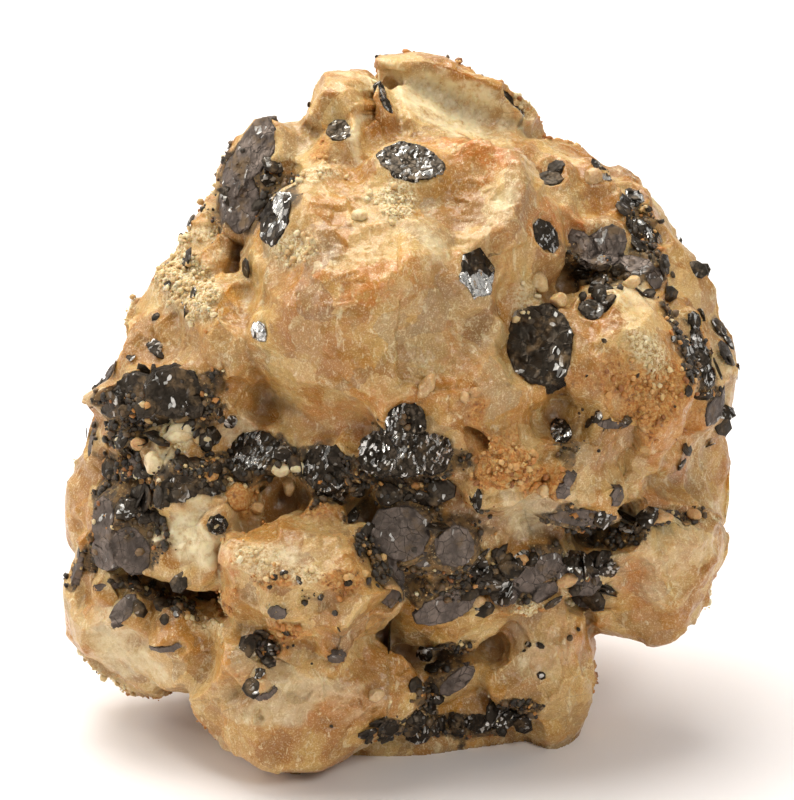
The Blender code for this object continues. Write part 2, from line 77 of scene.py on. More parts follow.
# The stone's layout, as its solid has it: across to the right, up, and back along a sight line 20 degrees
# down
MIDDLE = np.array((-0.21, -1.59, 25.2))
LOOK_DOWN = math.radians(20)
RIGHT = np.array((1.0, 0.0, 0.0))
RISE = np.array((0.0, math.sin(LOOK_DOWN), math.cos(LOOK_DOWN)))
SIGHT = np.array((0.0, math.cos(LOOK_DOWN), -math.sin(LOOK_DOWN)))
LAYOUT = np.stack((RIGHT, RISE, SIGHT), axis=1)

# wide, tall and deep are half sizes; turn is anticlockwise as seen, lean tips the top away
Lump = namedtuple("Lump", "name across up back wide tall deep turn lean chips")
LUMP_SEED = 100
CHIP_LOW, CHIP_HIGH = 0.78, 0.95
LUMPS = [
    Lump("heart", 0.5, -3.5, 4.0, 20.0, 18.0, 14.0, 0, 0, 26),
    Lump("dome", -0.8, 8.0, -3.5, 13.0, 14.8, 12.2, 12, 14, 24),
    Lump("dome_apron", 3.0, 2.2, -5.2, 10.5, 7.2, 9.4, -14, -8, 18),
    Lump("dome_flank", 5.5, 12.0, -4.0, 7.5, 8.5, 9.0, 15, 10, 16),
    Lump("peak", -3.6, 20.2, -1.0, 4.8, 5.0, 6.0, 25, 10, 16),
    Lump("top_slab", 3.9, 22.3, 5.0, 7.6, 3.0, 7.0, -20, 25, 12),
    Lump("under_slab", 3.0, 17.5, 2.0, 8.5, 6.5, 7.5, -20, 10, 16),
    Lump("right_shoulder", 11.5, 12.2, 2.5, 8.5, 8.0, 9.0, -30, 15, 18),
    Lump("right_crest", 16.8, 13.0, 5.0, 4.6, 5.4, 6.0, 35, 0, 14),
    Lump("right_mass", 13.5, 2.5, 3.5, 12.3, 14.0, 12.5, 8, 0, 24),
    Lump("right_knee", 15.6, 2.0, -4.6, 7.0, 7.8, 7.8, 10, 0, 20),
    Lump("knee_ledge", 18.6, 4.8, -3.4, 3.4, 5.4, 5.0, 25, 0, 12),
    Lump("rusty_knob", 7.8, -4.2, -8.8, 4.4, 4.4, 5.4, -20, 0, 16),
    Lump("tan_cheek", 11.5, -5.5, -5.0, 7.8, 5.2, 7.6, 10, 0, 18),
    Lump("right_foot", 17.8, -10.6, 2.2, 7.6, 8.0, 9.0, 20, 0, 20),
    Lump("right_heel", 22.3, -5.5, 6.0, 3.8, 7.5, 6.5, 5, 0, 12),
    Lump("bottom_boss", 10.6, -19.6, 2.8, 5.8, 6.8, 7.6, 0, 0, 18),
    Lump("bottom_pebble", 0.7, -22.6, 1.0, 3.2, 3.0, 4.0, 0, 0, 14),
    Lump("foot", 2.5, -17.8, 8.0, 14.5, 9.8, 12.0, 0, 0, 22),
    Lump("base", -0.5, -24.0, 8.8, 14.5, 6.0, 10.0, 0, 8, 14),
    Lump("front_boss", -7.0, -13.2, -6.8, 7.6, 6.2, 8.0, -12, 6, 22),
    Lump("boss_rim", -4.2, -15.4, -7.8, 5.4, 3.4, 6.0, 25, 0, 14),
    Lump("chin", -7.8, -20.8, -0.9, 10.4, 6.6, 9.8, -12, -10, 22),
    Lump("left_wedge", -19.8, -16.4, 3.0, 5.6, 7.0, 8.4, 32, 0, 12),
    Lump("wedge_step", -16.0, -18.4, 0.0, 4.6, 4.6, 6.0, 10, 0, 12),
    Lump("left_mass", -15.2, -6.5, 2.5, 9.6, 10.0, 11.0, 15, 0, 22),
    Lump("left_brink", -20.8, -8.5, 3.5, 5.0, 8.5, 7.5, 0, 0, 14),
    Lump("left_quartz", -14.0, -9.2, -3.0, 5.8, 5.4, 6.0, 0, 0, 16),
    Lump("left_slope", -13.2, 3.0, 0.5, 8.6, 9.0, 9.6, -30, 10, 20),
    Lump("left_bulge", -12.2, 4.4, -5.2, 4.8, 5.2, 5.6, 0, 0, 16),
    Lump("left_roll", -16.6, 3.2, -2.2, 4.6, 5.0, 5.4, -20, 0, 14),
    Lump("left_crust", -13.4, 9.8, 1.8, 4.8, 6.4, 6.8, -10, 10, 16),
    Lump("left_shoulder", -8.6, 15.6, 0.0, 5.4, 6.4, 7.6, -25, 10, 16),
    Lump("seam_floor", 3.0, -11.0, -1.4, 12.0, 8.0, 8.4, 5, 0, 18),
    Lump("seam_rib", 0.2, -4.2, -5.6, 6.4, 4.2, 7.0, -8, 0, 16),
    Lump("left_rib", -17.6, 0.2, -1.6, 5.6, 3.4, 6.4, 8, 0, 14),
    Lump("back_upper", 1.0, 9.0, 9.0, 15.5, 12.0, 10.0, 0, 20, 24),
    Lump("back_left", -8.0, -5.0, 12.5, 14.0, 14.0, 9.5, 0, 0, 22),
    Lump("back_right", 10.0, -4.5, 12.5, 13.0, 14.0, 9.5, 0, 0, 22),
    Lump("back_ledge", 2.0, -3.0, 18.0, 11.0, 6.0, 6.5, 15, 0, 16),
    Lump("back_knob", -11.0, 5.0, 14.5, 6.5, 6.5, 7.5, 0, 0, 14),
    Lump("back_rise", 10.0, 8.0, 13.0, 7.0, 8.0, 7.5, -20, 0, 14),
    Lump("back_foot", 4.0, -15.0, 13.5, 13.0, 7.5, 7.0, 0, 0, 16),
    Lump("heel", 0.5, -21.5, 14.5, 12.5, 6.5, 8.5, 0, 0, 14),
]
BREAKS = [  # the way each flat break faces in the layout, and its distance from the middle
    ((0.05, 0.10, 0.99), 19.2),
    ((-0.58, 0.22, 0.78), 19.4),
    ((0.62, -0.10, 0.78), 20.6),
    ((0.10, 0.72, 0.69), 21.5),
    ((-0.15, -0.50, 0.85), 25.0),
]
STAR_LIFT = 1.5  # the least height above the ground of the point that a lump's rays start from

# Stains, changes of grain and dark seams on the front, each by its middle and half sizes across and up, turn
# and strength
Patch = namedtuple("Patch", "across up wide tall turn strength")
PATCHES = {
    "rust": [
        Patch(7.4, -4.3, 4.0, 3.6, 0, 1.0), Patch(19.2, 0.6, 3.6, 3.8, 30, 0.95),
        Patch(16.4, 2.2, 2.4, 1.8, 0, 0.6), Patch(13.0, 1.2, 1.6, 1.2, 0, 0.5),
        Patch(-10.9, -7.1, 1.2, 1.6, 0, 0.9), Patch(-8.8, -13.0, 1.7, 1.1, 0, 0.9),
        Patch(-3.8, -13.2, 2.0, 1.4, 0, 0.9), Patch(-12.8, -14.8, 1.2, 1.0, 0, 0.8),
        Patch(-8.4, -17.7, 1.8, 1.2, -15, 0.9), Patch(-5.2, -7.0, 2.4, 1.2, 0, 0.8),
        Patch(-11.6, -20.4, 1.8, 1.2, 0, 0.6), Patch(9.8, -14.2, 4.6, 1.8, 8, 0.8),
        Patch(-5.6, 18.5, 0.8, 0.9, 0, 0.8), Patch(7.4, 10.2, 1.2, 2.4, 20, 0.4),
        Patch(-19.2, -6.6, 2.6, 1.8, 0, 0.5), Patch(-13.8, 4.2, 3.0, 1.6, 0, 0.3),
        Patch(22.6, 4.6, 1.4, 1.8, 0, 0.6),
    ],
    "amber": [
        Patch(-3.0, 7.3, 3.4, 1.2, 8, 0.8), Patch(5.6, 18.3, 3.2, 1.6, -20, 0.9),
        Patch(12.4, 13.6, 3.0, 1.6, 0, 0.7), Patch(-1.5, 9.4, 6.0, 0.9, 10, 0.5),
        Patch(12.5, -18.4, 4.2, 2.0, 0, 0.7), Patch(20.8, -4.0, 2.6, 3.0, 0, 0.5),
        Patch(-12.4, -12.2, 1.5, 1.4, 0, 0.9), Patch(-6.4, -22.4, 5.0, 1.6, 0, 0.6),
        Patch(-3.5, -1.2, 5.5, 1.4, 8, 0.5), Patch(5.0, 2.0, 3.0, 3.0, 0, 0.45),
        Patch(18.0, -14.0, 4.0, 2.4, 20, 0.5),
    ],
    "crust": [
        Patch(-15.8, 9.6, 2.6, 4.6, 25, 1.0), Patch(-17.6, 13.0, 1.8, 2.2, 25, 0.7),
        Patch(-0.4, 14.6, 2.6, 1.6, -30, 1.0), Patch(-7.4, 11.0, 1.6, 1.2, 30, 0.9),
        Patch(-6.3, 16.3, 2.6, 1.2, 25, 0.8), Patch(18.4, 3.6, 1.3, 3.0, 28, 0.9),
        Patch(-10.2, -11.8, 2.4, 1.6, 0, 0.6), Patch(-6.4, -12.6, 1.6, 1.4, 0, 0.7),
        Patch(-14.4, -16.0, 2.6, 0.9, -35, 0.6), Patch(2.5, -15.6, 1.4, 1.0, 20, 0.5),
        Patch(7.6, -12.6, 1.5, 1.0, 20, 1.0), Patch(9.4, -14.8, 1.6, 1.0, -20, 1.0),
        Patch(12.8, -12.2, 1.2, 1.2, 0, 0.9), Patch(13.4, -14.6, 1.2, 0.7, 0, 0.8),
        Patch(-17.0, -3.0, 2.2, 0.8, 0, 0.7), Patch(-12.2, -6.2, 1.4, 0.8, 0, 0.8),
        Patch(9.8, 6.4, 1.6, 1.8, 0, 0.6), Patch(-16.4, -1.4, 1.8, 1.2, 0, 0.4),
    ],
    "milk": [
        Patch(-15.2, -9.6, 3.4, 2.8, 0, 1.0), Patch(-8.6, -11.6, 2.2, 1.0, 25, 0.8),
        Patch(-16.2, -2.6, 2.0, 1.0, 15, 0.8), Patch(-17.6, -4.8, 1.0, 1.0, 0, 0.9),
        Patch(3.8, 22.6, 6.4, 1.9, -17, 0.95), Patch(-2.9, 19.6, 0.6, 2.0, -10, 0.8),
        Patch(2.4, 11.0, 1.1, 1.8, 15, 0.55), Patch(8.0, 14.4, 1.0, 0.8, 0, 0.6),
        Patch(-20.4, -19.2, 2.6, 3.2, 30, 0.7), Patch(-9.4, -22.8, 2.2, 1.2, 0, 0.5),
        Patch(17.0, 8.2, 3.0, 1.4, -25, 0.6), Patch(24.4, 3.0, 1.2, 5.0, 15, 0.4),
        Patch(14.6, -13.9, 2.0, 1.6, 0, 0.3), Patch(-11.8, -1.8, 1.8, 0.8, 10, 0.5),
        Patch(-21.6, -17.6, 1.8, 3.4, 25, 0.6), Patch(-7.0, -21.4, 6.0, 2.0, -10, 0.45),
        Patch(19.5, -11.5, 3.4, 3.6, 0, 0.35), Patch(11.0, -18.6, 3.4, 2.2, 0, 0.4),
        Patch(10.4, -8.6, 3.8, 1.6, 5, 0.5), Patch(6.0, 22.0, 3.0, 1.4, -20, 0.8),
    ],
    "grey": [
        Patch(-15.0, 6.4, 2.6, 1.6, 15, 0.5), Patch(4.0, 6.8, 4.0, 4.5, -15, 0.4),
        Patch(8.4, -9.2, 4.6, 1.8, 5, 0.7), Patch(16.4, -4.6, 4.4, 2.2, 5, 0.3),
        Patch(-4.6, 11.3, 1.2, 1.2, 0, 0.8), Patch(-9.0, -21.8, 5.5, 2.0, 0, 0.6),
        Patch(7.0, 13.2, 2.6, 2.2, 0, 0.4), Patch(23.4, -4.8, 1.4, 3.6, 0, 0.5),
    ],
    # Dark patches in the seams: partly graphite dust, partly painted shade
    "grime_and_shade": [
        Patch(-18.2, -0.6, 5.6, 2.6, 12, 1.0), Patch(-20.6, -5.6, 2.4, 4.0, 10, 0.9),
        Patch(-15.0, -5.4, 3.8, 1.7, 12, 1.0), Patch(-9.4, -4.6, 4.4, 1.8, 0, 1.0),
        Patch(-4.0, -6.0, 3.4, 1.7, 0, 0.9), Patch(0.4, -4.6, 3.6, 3.4, 0, 0.9),
        Patch(1.4, -10.4, 5.0, 3.8, 0, 1.0), Patch(8.6, -13.0, 6.6, 2.1, 8, 1.0),
        Patch(14.4, -9.4, 4.4, 0.9, -12, 0.9), Patch(19.6, -8.8, 3.0, 0.7, 14, 0.8),
        Patch(3.2, -20.6, 1.2, 3.4, -32, 0.9), Patch(3.6, -24.6, 6.6, 1.1, 0, 1.0),
        Patch(8.6, -23.6, 2.4, 1.0, 0, 0.9), Patch(-20.0, -10.4, 2.8, 3.2, 0, 0.8),
        Patch(-23.6, -12.6, 0.9, 2.6, -40, 0.8), Patch(-18.0, -14.4, 4.4, 0.8, -20, 0.7),
        Patch(16.0, 9.8, 4.4, 1.4, -15, 0.9), Patch(18.6, 12.2, 1.3, 3.0, 10, 0.8),
        Patch(22.0, 2.8, 1.4, 3.8, 25, 0.9), Patch(-11.2, 16.2, 3.8, 4.4, -10, 0.6),
        Patch(12.4, -3.0, 1.4, 2.2, 10, 0.6), Patch(-6.2, -14.6, 1.8, 0.5, -20, 0.4),
        Patch(-9.2, -17.8, 3.2, 0.7, -18, 0.5),
    ],
}
# Scars of the broken stone: their width as a share of the widest, how dished they are, and their noise's salt
Scar = namedtuple("Scar", "share dish salt")
SCARS = (Scar(1.0, 0.20, 41), Scar(0.42, 0.20, 42), Scar(0.19, 0.14, 43))
PIT, PIT_RADIUS = (5.5, -3.1), 0.45  # the small round cavity in the rusty knob

# Scattered small flakes: where, half spread across and up, how many, and their half sizes
Scatter = namedtuple("Scatter", "azimuth across up wide tall count small large")
SCATTERS = [
    Scatter(0, 10.5, -13.2, 5.6, 1.9, 60, 0.45, 1.1),
    Scatter(0, 1.0, -8.0, 4.4, 1.6, 26, 0.4, 1.0),
    Scatter(0, 17.6, -9.0, 3.0, 0.9, 14, 0.3, 0.8),
    Scatter(0, -16.6, -3.0, 5.0, 2.6, 34, 0.35, 1.0),
    Scatter(0, -18.8, -7.8, 2.4, 2.0, 22, 0.35, 1.0),
    Scatter(0, -7.6, -4.6, 4.2, 1.6, 20, 0.35, 0.8),
    Scatter(0, 15.6, 8.8, 3.2, 1.0, 18, 0.3, 0.8),
    Scatter(0, 22.2, 2.6, 0.8, 2.8, 20, 0.3, 0.7),
    Scatter(0, 18.0, 12.4, 1.4, 2.2, 14, 0.3, 0.8),
    Scatter(0, 15.2, -1.6, 1.8, 0.3, 14, 0.15, 0.4),
    Scatter(0, -10.4, 15.6, 3.2, 3.0, 26, 0.35, 0.9),
    Scatter(0, 4.0, -24.4, 6.0, 0.8, 40, 0.35, 0.9),
    Scatter(0, 2.6, -20.6, 1.0, 2.0, 14, 0.3, 0.8),
    Scatter(0, -9.8, -19.2, 1.6, 2.0, 12, 0.35, 0.8),
    Scatter(0, -16.8, -14.6, 3.0, 1.6, 14, 0.3, 0.8),
    Scatter(0, -6.0, -14.6, 3.6, 2.6, 10, 0.15, 0.4),
    Scatter(0, 16.0, 1.0, 5.0, 5.0, 7, 0.10, 0.25),
    Scatter(0, 12.2, -19.0, 3.0, 3.4, 6, 0.15, 0.4),
    Scatter(75, -6.0, -1.0, 7.0, 9.0, 46, 0.25, 0.9),
    Scatter(-80, 7.0, -4.0, 7.0, 8.0, 46, 0.25, 0.9),
    Scatter(180, -4.0, 4.0, 9.0, 7.0, 40, 0.25, 0.9),
    Scatter(180, 3.0, -6.0, 7.0, 3.0, 50, 0.3, 1.0),
    Scatter(180, 2.0, -15.0, 11.0, 4.0, 24, 0.2, 0.7),
    Scatter(150, 0.0, 14.0, 7.0, 5.0, 20, 0.2, 0.7),
]

# How a crystal looks: its finish, the width and tilt of its facets, the height of its terraces, how deep it
# is scratched, and how much of it is bare mirror facet, painted bright as glints
Look = namedtuple("Look", "finish facet tilt terrace score clean")
LOOKS = {
    "mirror": Look("mirror_graphite", 1.6, 0.10, 0.03, 0.0, 0.95),
    "glinting": Look("mirror_graphite", 1.3, 0.12, 0.04, 0.0, 0.45),
    "sparkly": Look("bright_graphite", 0.6, 0.10, 0.04, 0.0, 0.36),
    "scratched": Look("bright_graphite", 1.1, 0.06, 0.03, 0.03, 0.28),
    "striated": Look("bright_graphite", 1.2, 0.04, 0.02, 0.04, 0.30),
    "dusty": Look("dusty_graphite", 1.2, 0.08, 0.05, 0.0, 0.16),
    "matte": Look("dull_graphite", 1.1, 0.05, 0.05, 0.0, 0.05),
    "brown": Look("brown_graphite", 0.9, 0.07, 0.05, 0.02, 0.14),
}
# A graphite finish: how shiny and how dusty, its setting for the colour, and its facets' widths
Finish = namedtuple("Finish", "shine dust base large small")
FINISHES = {
    "bright_graphite": Finish(0.9, 0.10, "body", 0.6, 0.19),
    "mirror_graphite": Finish(0.9, 0.05, "body", 1.1, 0.42),
    "dusty_graphite": Finish(0.65, 0.5, "body", 0.85, 0.30),
    "dull_graphite": Finish(0.35, 0.2, "worn", 0.85, 0.30),
    "brown_graphite": Finish(0.5, 0.45, "worn", 0.85, 0.30),
    "flake_graphite": Finish(0.6, 0.4, "body", 0.5, 0.2),
}
LOOK_OF = {
    "mirror": ("silver_plate",),
    "glinting": ("left_brow_plate", "hexagonal_plate", "back_hexagonal_plate", "right_peak_cluster"),
    "sparkly": ("crown_plate", "centre_cluster", "seam_round_plate", "cheek_plate", "right_edge_cluster",
                "back_seam_cluster", "right_side_plate", "foot_cluster"),
    "scratched": ("scratched_plate", "small_peak_plate", "seam_knob_plate", "left_side_plate",
                  "slab_edge_strip"),
    "striated": ("striated_plate", "peak_sliver", "right_edge_sliver"),
    "dusty": ("broad_plate", "left_upper_cluster", "round_plate_pair", "left_seam_cluster",
              "upper_right_pair"),
    "brown": ("left_shoulder_cluster", "right_ledge_cluster", "back_round_plate"),
}

# Quartz pebbles and stubby crystals that stand on the stone: place, half sizes, turn, and how milky and rusty
Pebble = namedtuple("Pebble", "across up wide tall deep turn milk rust")
PEBBLES = [
    Pebble(2.1, 1.0, 0.55, 1.15, 0.7, -30, 0.3, 0.0),
    Pebble(5.6, 0.5, 0.55, 0.45, 0.5, 0, 0.2, 0.2),
    Pebble(4.9, 0.2, 0.45, 0.5, 0.5, 10, 0.4, 0.2),
    Pebble(-15.9, -2.4, 1.3, 0.8, 0.8, 20, 1.0, 0.0),
    Pebble(-14.4, -2.9, 0.9, 0.6, 0.7, -10, 0.9, 0.1),
    Pebble(-17.8, -4.6, 0.75, 0.95, 0.7, 0, 0.9, 0.0),
    Pebble(-11.7, -7.1, 0.95, 1.15, 0.9, 20, 0.1, 0.9),
    Pebble(-10.3, -7.9, 0.6, 0.5, 0.6, 0, 0.5, 0.5),
    Pebble(10.6, -6.6, 0.5, 0.55, 0.5, 15, 0.8, 0.3),
    Pebble(12.6, -13.2, 0.9, 0.6, 0.7, 25, 0.6, 0.5),
    Pebble(9.0, -11.6, 0.8, 0.55, 0.6, -15, 0.5, 0.7),
    Pebble(6.0, -14.8, 0.6, 0.5, 0.5, 0, 0.6, 0.4),
    Pebble(19.6, -8.7, 0.8, 0.4, 0.5, 10, 0.4, 0.3),
    Pebble(22.0, -8.5, 0.6, 0.4, 0.5, -10, 0.3, 0.4),
    Pebble(10.4, 8.6, 0.6, 0.9, 0.6, 15, 0.4, 0.1),
    Pebble(11.8, 7.2, 0.7, 0.6, 0.6, -20, 0.2, 0.2),
    Pebble(14.6, 16.6, 0.8, 0.7, 0.7, 0, 0.5, 0.2),
    Pebble(17.2, 8.6, 0.7, 0.5, 0.5, 30, 0.6, 0.2),
    Pebble(-2.7, 13.3, 0.6, 0.5, 0.4, 0, 0.9, 0.0),
    Pebble(-19.0, -3.2, 0.6, 0.5, 0.5, 0, 0.3, 0.5),
    Pebble(-1.6, -21.6, 0.7, 0.5, 0.5, 20, 0.7, 0.3),
    Pebble(-13.6, -5.6, 0.6, 0.4, 0.5, 10, 0.2, 0.7),
    Pebble(-8.4, -5.0, 0.8, 0.6, 0.6, 15, 1.0, 0.0),
    Pebble(-7.3, -4.9, 0.7, 0.5, 0.6, -20, 1.0, 0.0),
    Pebble(-7.9, -6.3, 0.5, 0.8, 0.6, 0, 0.5, 0.3),
]


def cell_hash(cell, salt):
    """A scrambled whole number for each row of whole-number cells."""
    h = cell[:, 0] * 374761393 + cell[:, 1] * 668265263 + cell[:, 2] * 2147483629 + salt * 1274126177
    h = h & 0xFFFFFFFF
    h = ((h ^ (h >> 13)) * 1274126177) & 0xFFFFFFFF
    return h ^ (h >> 16)


def hash_vector(h):
    """Three numbers from 0 to 1 out of each scrambled number."""
    return np.stack((h & 1023, (h >> 10) & 1023, (h >> 20) & 1023), axis=1) / 1023


def hash_share(h):
    """One number from 0 to 1 out of each scrambled number."""
    return ((h * 2654435761 >> 7) & 0xFFFF) / 0xFFFF


def noise(p, size, salt=0):
    """Gradient noise from about -1 to 1: at each point, its cell's eight corner gradients, eased together."""
    q = p / size
    base = np.floor(q).astype(np.int64)
    f = q - base
    ease = f * f * f * (f * (f * 6 - 15) + 10)
    total = np.zeros(len(p))
    for corner in np.ndindex(2, 2, 2):
        gradient = hash_vector(cell_hash(base + corner, salt)) * 2 - 1
        weight = np.where(corner, ease, 1 - ease).prod(axis=1)
        total += weight * ((f - corner) * gradient).sum(axis=1)
    return total * 1.7


def fractal(p, size, octaves, salt=0):
    """Noise with ever finer and fainter noise added, each half the last."""
    return sum(noise(p, size / 2 ** i, salt + i) / 2 ** i for i in range(octaves))


def noise_vector(p, size, salt=0):
    return np.stack([noise(p, size, salt + 11 * i) for i in range(3)], axis=1)


def cells(p, size, salt=0):
    """Splits space into cells round random points. Gives, for each point, how far it is from its cell's
    border as a share of the size, the cell's scrambled number and the offset from the cell's middle."""
    q = p / size
    base = np.floor(q).astype(np.int64)
    nearest = np.full(len(p), 9.0)
    second = np.full(len(p), 9.0)
    number = np.zeros(len(p), np.int64)
    offset = np.zeros_like(q)
    for step in np.ndindex(3, 3, 3):
        cell = base + step - 1
        h = cell_hash(cell, salt)
        away = q - cell - hash_vector(h)
        d = np.sqrt((away ** 2).sum(axis=1))
        closer = d < nearest
        second = np.where(closer, nearest, np.minimum(second, d))
        nearest = np.where(closer, d, nearest)
        number = np.where(closer, h, number)
        offset = np.where(closer[:, None], away, offset)
    return second - nearest, number, offset * size


def facets(p, size, tilt, salt=0):
    """Heights of flats that meet at random angles: in each cell, a plane that is tilted its own way."""
    _, number, offset = cells(p, size, salt)
    slope = (hash_vector(number) - 0.5) * 2 * tilt
    return (offset * slope).sum(axis=1)


def scallops(p, size, dish, tilt, salt=0):
    """Heights of dished scars that meet in sharp ridges: at each point, the lowest of the bowls that stand
    round the random points of the cells nearby, each tilted its own way."""
    q = p / size
    base = np.floor(q).astype(np.int64)
    lowest = np.full(len(p), 9.0)
    for step in np.ndindex(3, 3, 3):
        cell = base + step - 1
        h = cell_hash(cell, salt)
        away = q - cell - hash_vector(h)
        slope = (hash_vector((h * 40503 >> 5) & 0x3FFFFFFF) - 0.5) * 2 * tilt
        lowest = np.minimum(lowest, dish * (away ** 2).sum(axis=1) + (away * slope).sum(axis=1))
    return lowest * size


def smooth_step(x, low, high):
    t = np.clip((x - low) / (high - low), 0, 1)
    return t * t * (3 - 2 * t)


def layout_of(points):
    """Across, up and back of points of the stone's frame."""
    return (points - MIDDLE) @ LAYOUT


def turned_about_z(degrees):
    c, s = math.cos(math.radians(degrees)), math.sin(math.radians(degrees))
    return np.array(((c, -s, 0), (s, c, 0), (0, 0, 1)))


def turned_about_x(degrees):
    c, s = math.cos(math.radians(degrees)), math.sin(math.radians(degrees))
    return np.array(((1, 0, 0), (0, c, -s), (0, s, c)))


def ball_grid(rows, columns):
    """Directions on a grid of rows from pole to pole and columns round, with one point at each pole, and the
    faces between them, as rows of four (a pole's triangle repeats its last point)."""
    lat = math.pi * np.arange(1, rows) / rows
    lon = math.tau * np.arange(columns) / columns
    ring = np.stack((
        np.outer(np.sin(lat), np.cos(lon)),
        np.outer(np.sin(lat), np.sin(lon)),
        np.outer(np.cos(lat), np.ones(columns)),
    ), axis=2).reshape(-1, 3)
    points = np.vstack((ring, ((0, 0, 1), (0, 0, -1))))
    top, bottom = len(ring), len(ring) + 1
    i = np.arange(columns)
    j = (i + 1) % columns
    starts = columns * np.arange(rows - 2)
    quads = [np.stack((a + i, a + columns + i, a + columns + j, a + j), axis=1) for a in starts]
    last = (rows - 2) * columns
    caps = [np.stack((np.full(columns, top), i, j, j), axis=1),
            np.stack((np.full(columns, bottom), last + j, last + i, last + i), axis=1)]
    return points, np.vstack(quads + caps)


def chips(seed, count):
    """Flats struck off a unit ball: the way each faces and its distance from the centre."""
    rng = random.Random(seed)
    facing, distance = [], []
    for _ in range(count):
        z = rng.uniform(-1, 1)
        t = rng.uniform(0, math.tau)
        s = math.sqrt(1 - z * z)
        facing.append((s * math.cos(t), s * math.sin(t), z))
        distance.append(rng.uniform(CHIP_LOW, CHIP_HIGH))
    return np.array(facing), np.array(distance)


def lump_surface(lump, seed, crispness):
    """A chiselled lump as a function of two parameters, the angles of a ray from its middle. The ray goes out
    to the nearest of the ball and its flats, blended softly by crispness, and no further than the ground and
    the breaks. The unit ball is then stretched, turned and put in its place."""
    rows = 24 if lump.wide < 2 else 50 if lump.wide < 9 else 96
    rays, faces = ball_grid(rows, 2 * rows)
    half = np.diag((lump.wide, lump.tall, lump.deep))
    place = LAYOUT @ turned_about_z(lump.turn) @ turned_about_x(lump.lean) @ half
    centre = MIDDLE + LAYOUT @ (lump.across, lump.up, lump.back)
    lift = np.array((0, 0, max(0.0, STAR_LIFT - centre[2])))
    start = np.linalg.solve(place, lift)
    along = rays @ start
    reach = [-along + np.sqrt(along ** 2 + 1 - start @ start)]
    facing, distance = chips(seed, lump.chips)
    for flat, far in zip(facing, distance):
        lean = rays @ flat
        reach.append(np.where(lean > 1e-3, (far - flat @ start) / np.maximum(lean, 1e-3), 9.0))
    reach = np.array(reach)
    soft = -np.log(np.exp(-crispness * reach).sum(axis=0)) / crispness
    walls = [(np.array((0, 0, -1.0)), 0.0)]
    for toward, far in BREAKS:
        n = LAYOUT @ (np.array(toward) / np.linalg.norm(toward))
        walls.append((n, far + n @ MIDDLE))
    for n, far in walls:
        lean = rays @ (place.T @ n)
        room = far - n @ (centre + place @ start)
        soft = np.where(lean > 1e-6, np.minimum(soft, room / np.maximum(lean, 1e-6)), soft)
    points = centre + (start + rays * soft[:, None]) @ place.T
    return points, faces[:, ::-1]


def mesh_from(name, points, faces):
    """A mesh of points in millimetres. A face that repeats its last point is a triangle."""
    mesh = bpy.data.meshes.new(name)
    triangle = faces[:, 3] == faces[:, 2] if faces.shape[1] == 4 else np.ones(len(faces), bool)
    counts = np.where(triangle, 3, 4)
    starts = np.concatenate(((0,), np.cumsum(counts)[:-1]))
    keep = np.ones(faces.shape, bool)
    if faces.shape[1] == 4:
        keep[:, 3] = ~triangle
    mesh.vertices.add(len(points))
    mesh.vertices.foreach_set("co", (points * MM).astype(np.float32).ravel())
    mesh.loops.add(int(counts.sum()))
    mesh.loops.foreach_set("vertex_index", faces[keep].astype(np.int32))
    mesh.polygons.add(len(faces))
    mesh.polygons.foreach_set("loop_start", starts.astype(np.int32))
    mesh.update(calc_edges=True)
    return mesh


def arrays_of(mesh):
    """Points in millimetres and faces, four to a row, of a mesh of triangles and quads."""
    points = np.empty(len(mesh.vertices) * 3, np.float32)
    mesh.vertices.foreach_get("co", points)
    total = np.empty(len(mesh.polygons), np.int32)
    mesh.polygons.foreach_get("loop_total", total)
    start = np.empty(len(mesh.polygons), np.int32)
    mesh.polygons.foreach_get("loop_start", start)
    loops = np.empty(len(mesh.loops), np.int32)
    mesh.loops.foreach_get("vertex_index", loops)
    fourth = np.where(total > 3, start + 3, start + 2)
    faces = np.stack((loops[start], loops[start + 1], loops[start + 2], loops[fourth]), axis=1)
    return points.reshape(-1, 3).astype(float) / MM, faces


def remeshed(points, faces, voxel):
    """One closed skin of small squares, this many millimetres wide, round closed shapes that may overlap."""
    mesh = mesh_from("rough", points / MM, faces)
    obj = bpy.data.objects.new("rough", mesh)
    bpy.context.scene.collection.objects.link(obj)
    step = obj.modifiers.new("skin", "REMESH")
    step.mode = "VOXEL"
    step.voxel_size = voxel
    done = bpy.data.meshes.new_from_object(obj.evaluated_get(bpy.context.evaluated_depsgraph_get()))
    skin, quads = arrays_of(done)
    bpy.data.objects.remove(obj)
    bpy.data.meshes.remove(mesh)
    bpy.data.meshes.remove(done)
    return skin * MM, quads


def face_normals(points, faces):
    """Each face's normal, as long as twice its area."""
    return np.cross(points[faces[:, 2]] - points[faces[:, 0]], points[faces[:, 3]] - points[faces[:, 1]])


def vertex_normals(points, faces):
    n = face_normals(points, faces)
    total = np.zeros_like(points)
    for column in range(4):
        for axis in range(3):
            total[:, axis] += np.bincount(faces[:, column], n[:, axis], len(points))
    return total / np.maximum(np.linalg.norm(total, axis=1), 1e-9)[:, None]


def edges_of(faces):
    pairs = np.vstack([faces[:, (i, (i + 1) % 4)] for i in range(4)])
    pairs = np.sort(pairs[pairs[:, 0] != pairs[:, 1]], axis=1)
    return np.unique(pairs, axis=0)


def relaxed(values, edges, rounds, share=0.5):
    """Values on vertices, drawn towards the mean of their neighbours this many times."""
    values = values.reshape(len(values), -1).copy()
    a, b = edges.T
    links = np.maximum(np.bincount(a, minlength=len(values)) + np.bincount(b, minlength=len(values)), 1)
    for _ in range(rounds):
        for k in range(values.shape[1]):
            v = values[:, k]
            near = (np.bincount(a, v[b], len(v)) + np.bincount(b, v[a], len(v))) / links
            values[:, k] = v + share * (near - v)
    return values


def node_triangles(name):
    """A crystal's solid as corners of triangles in millimetres, three points to each."""
    points, faces = arrays_of(frame["nodes"][name].data)
    return points[faces[:, :3]]


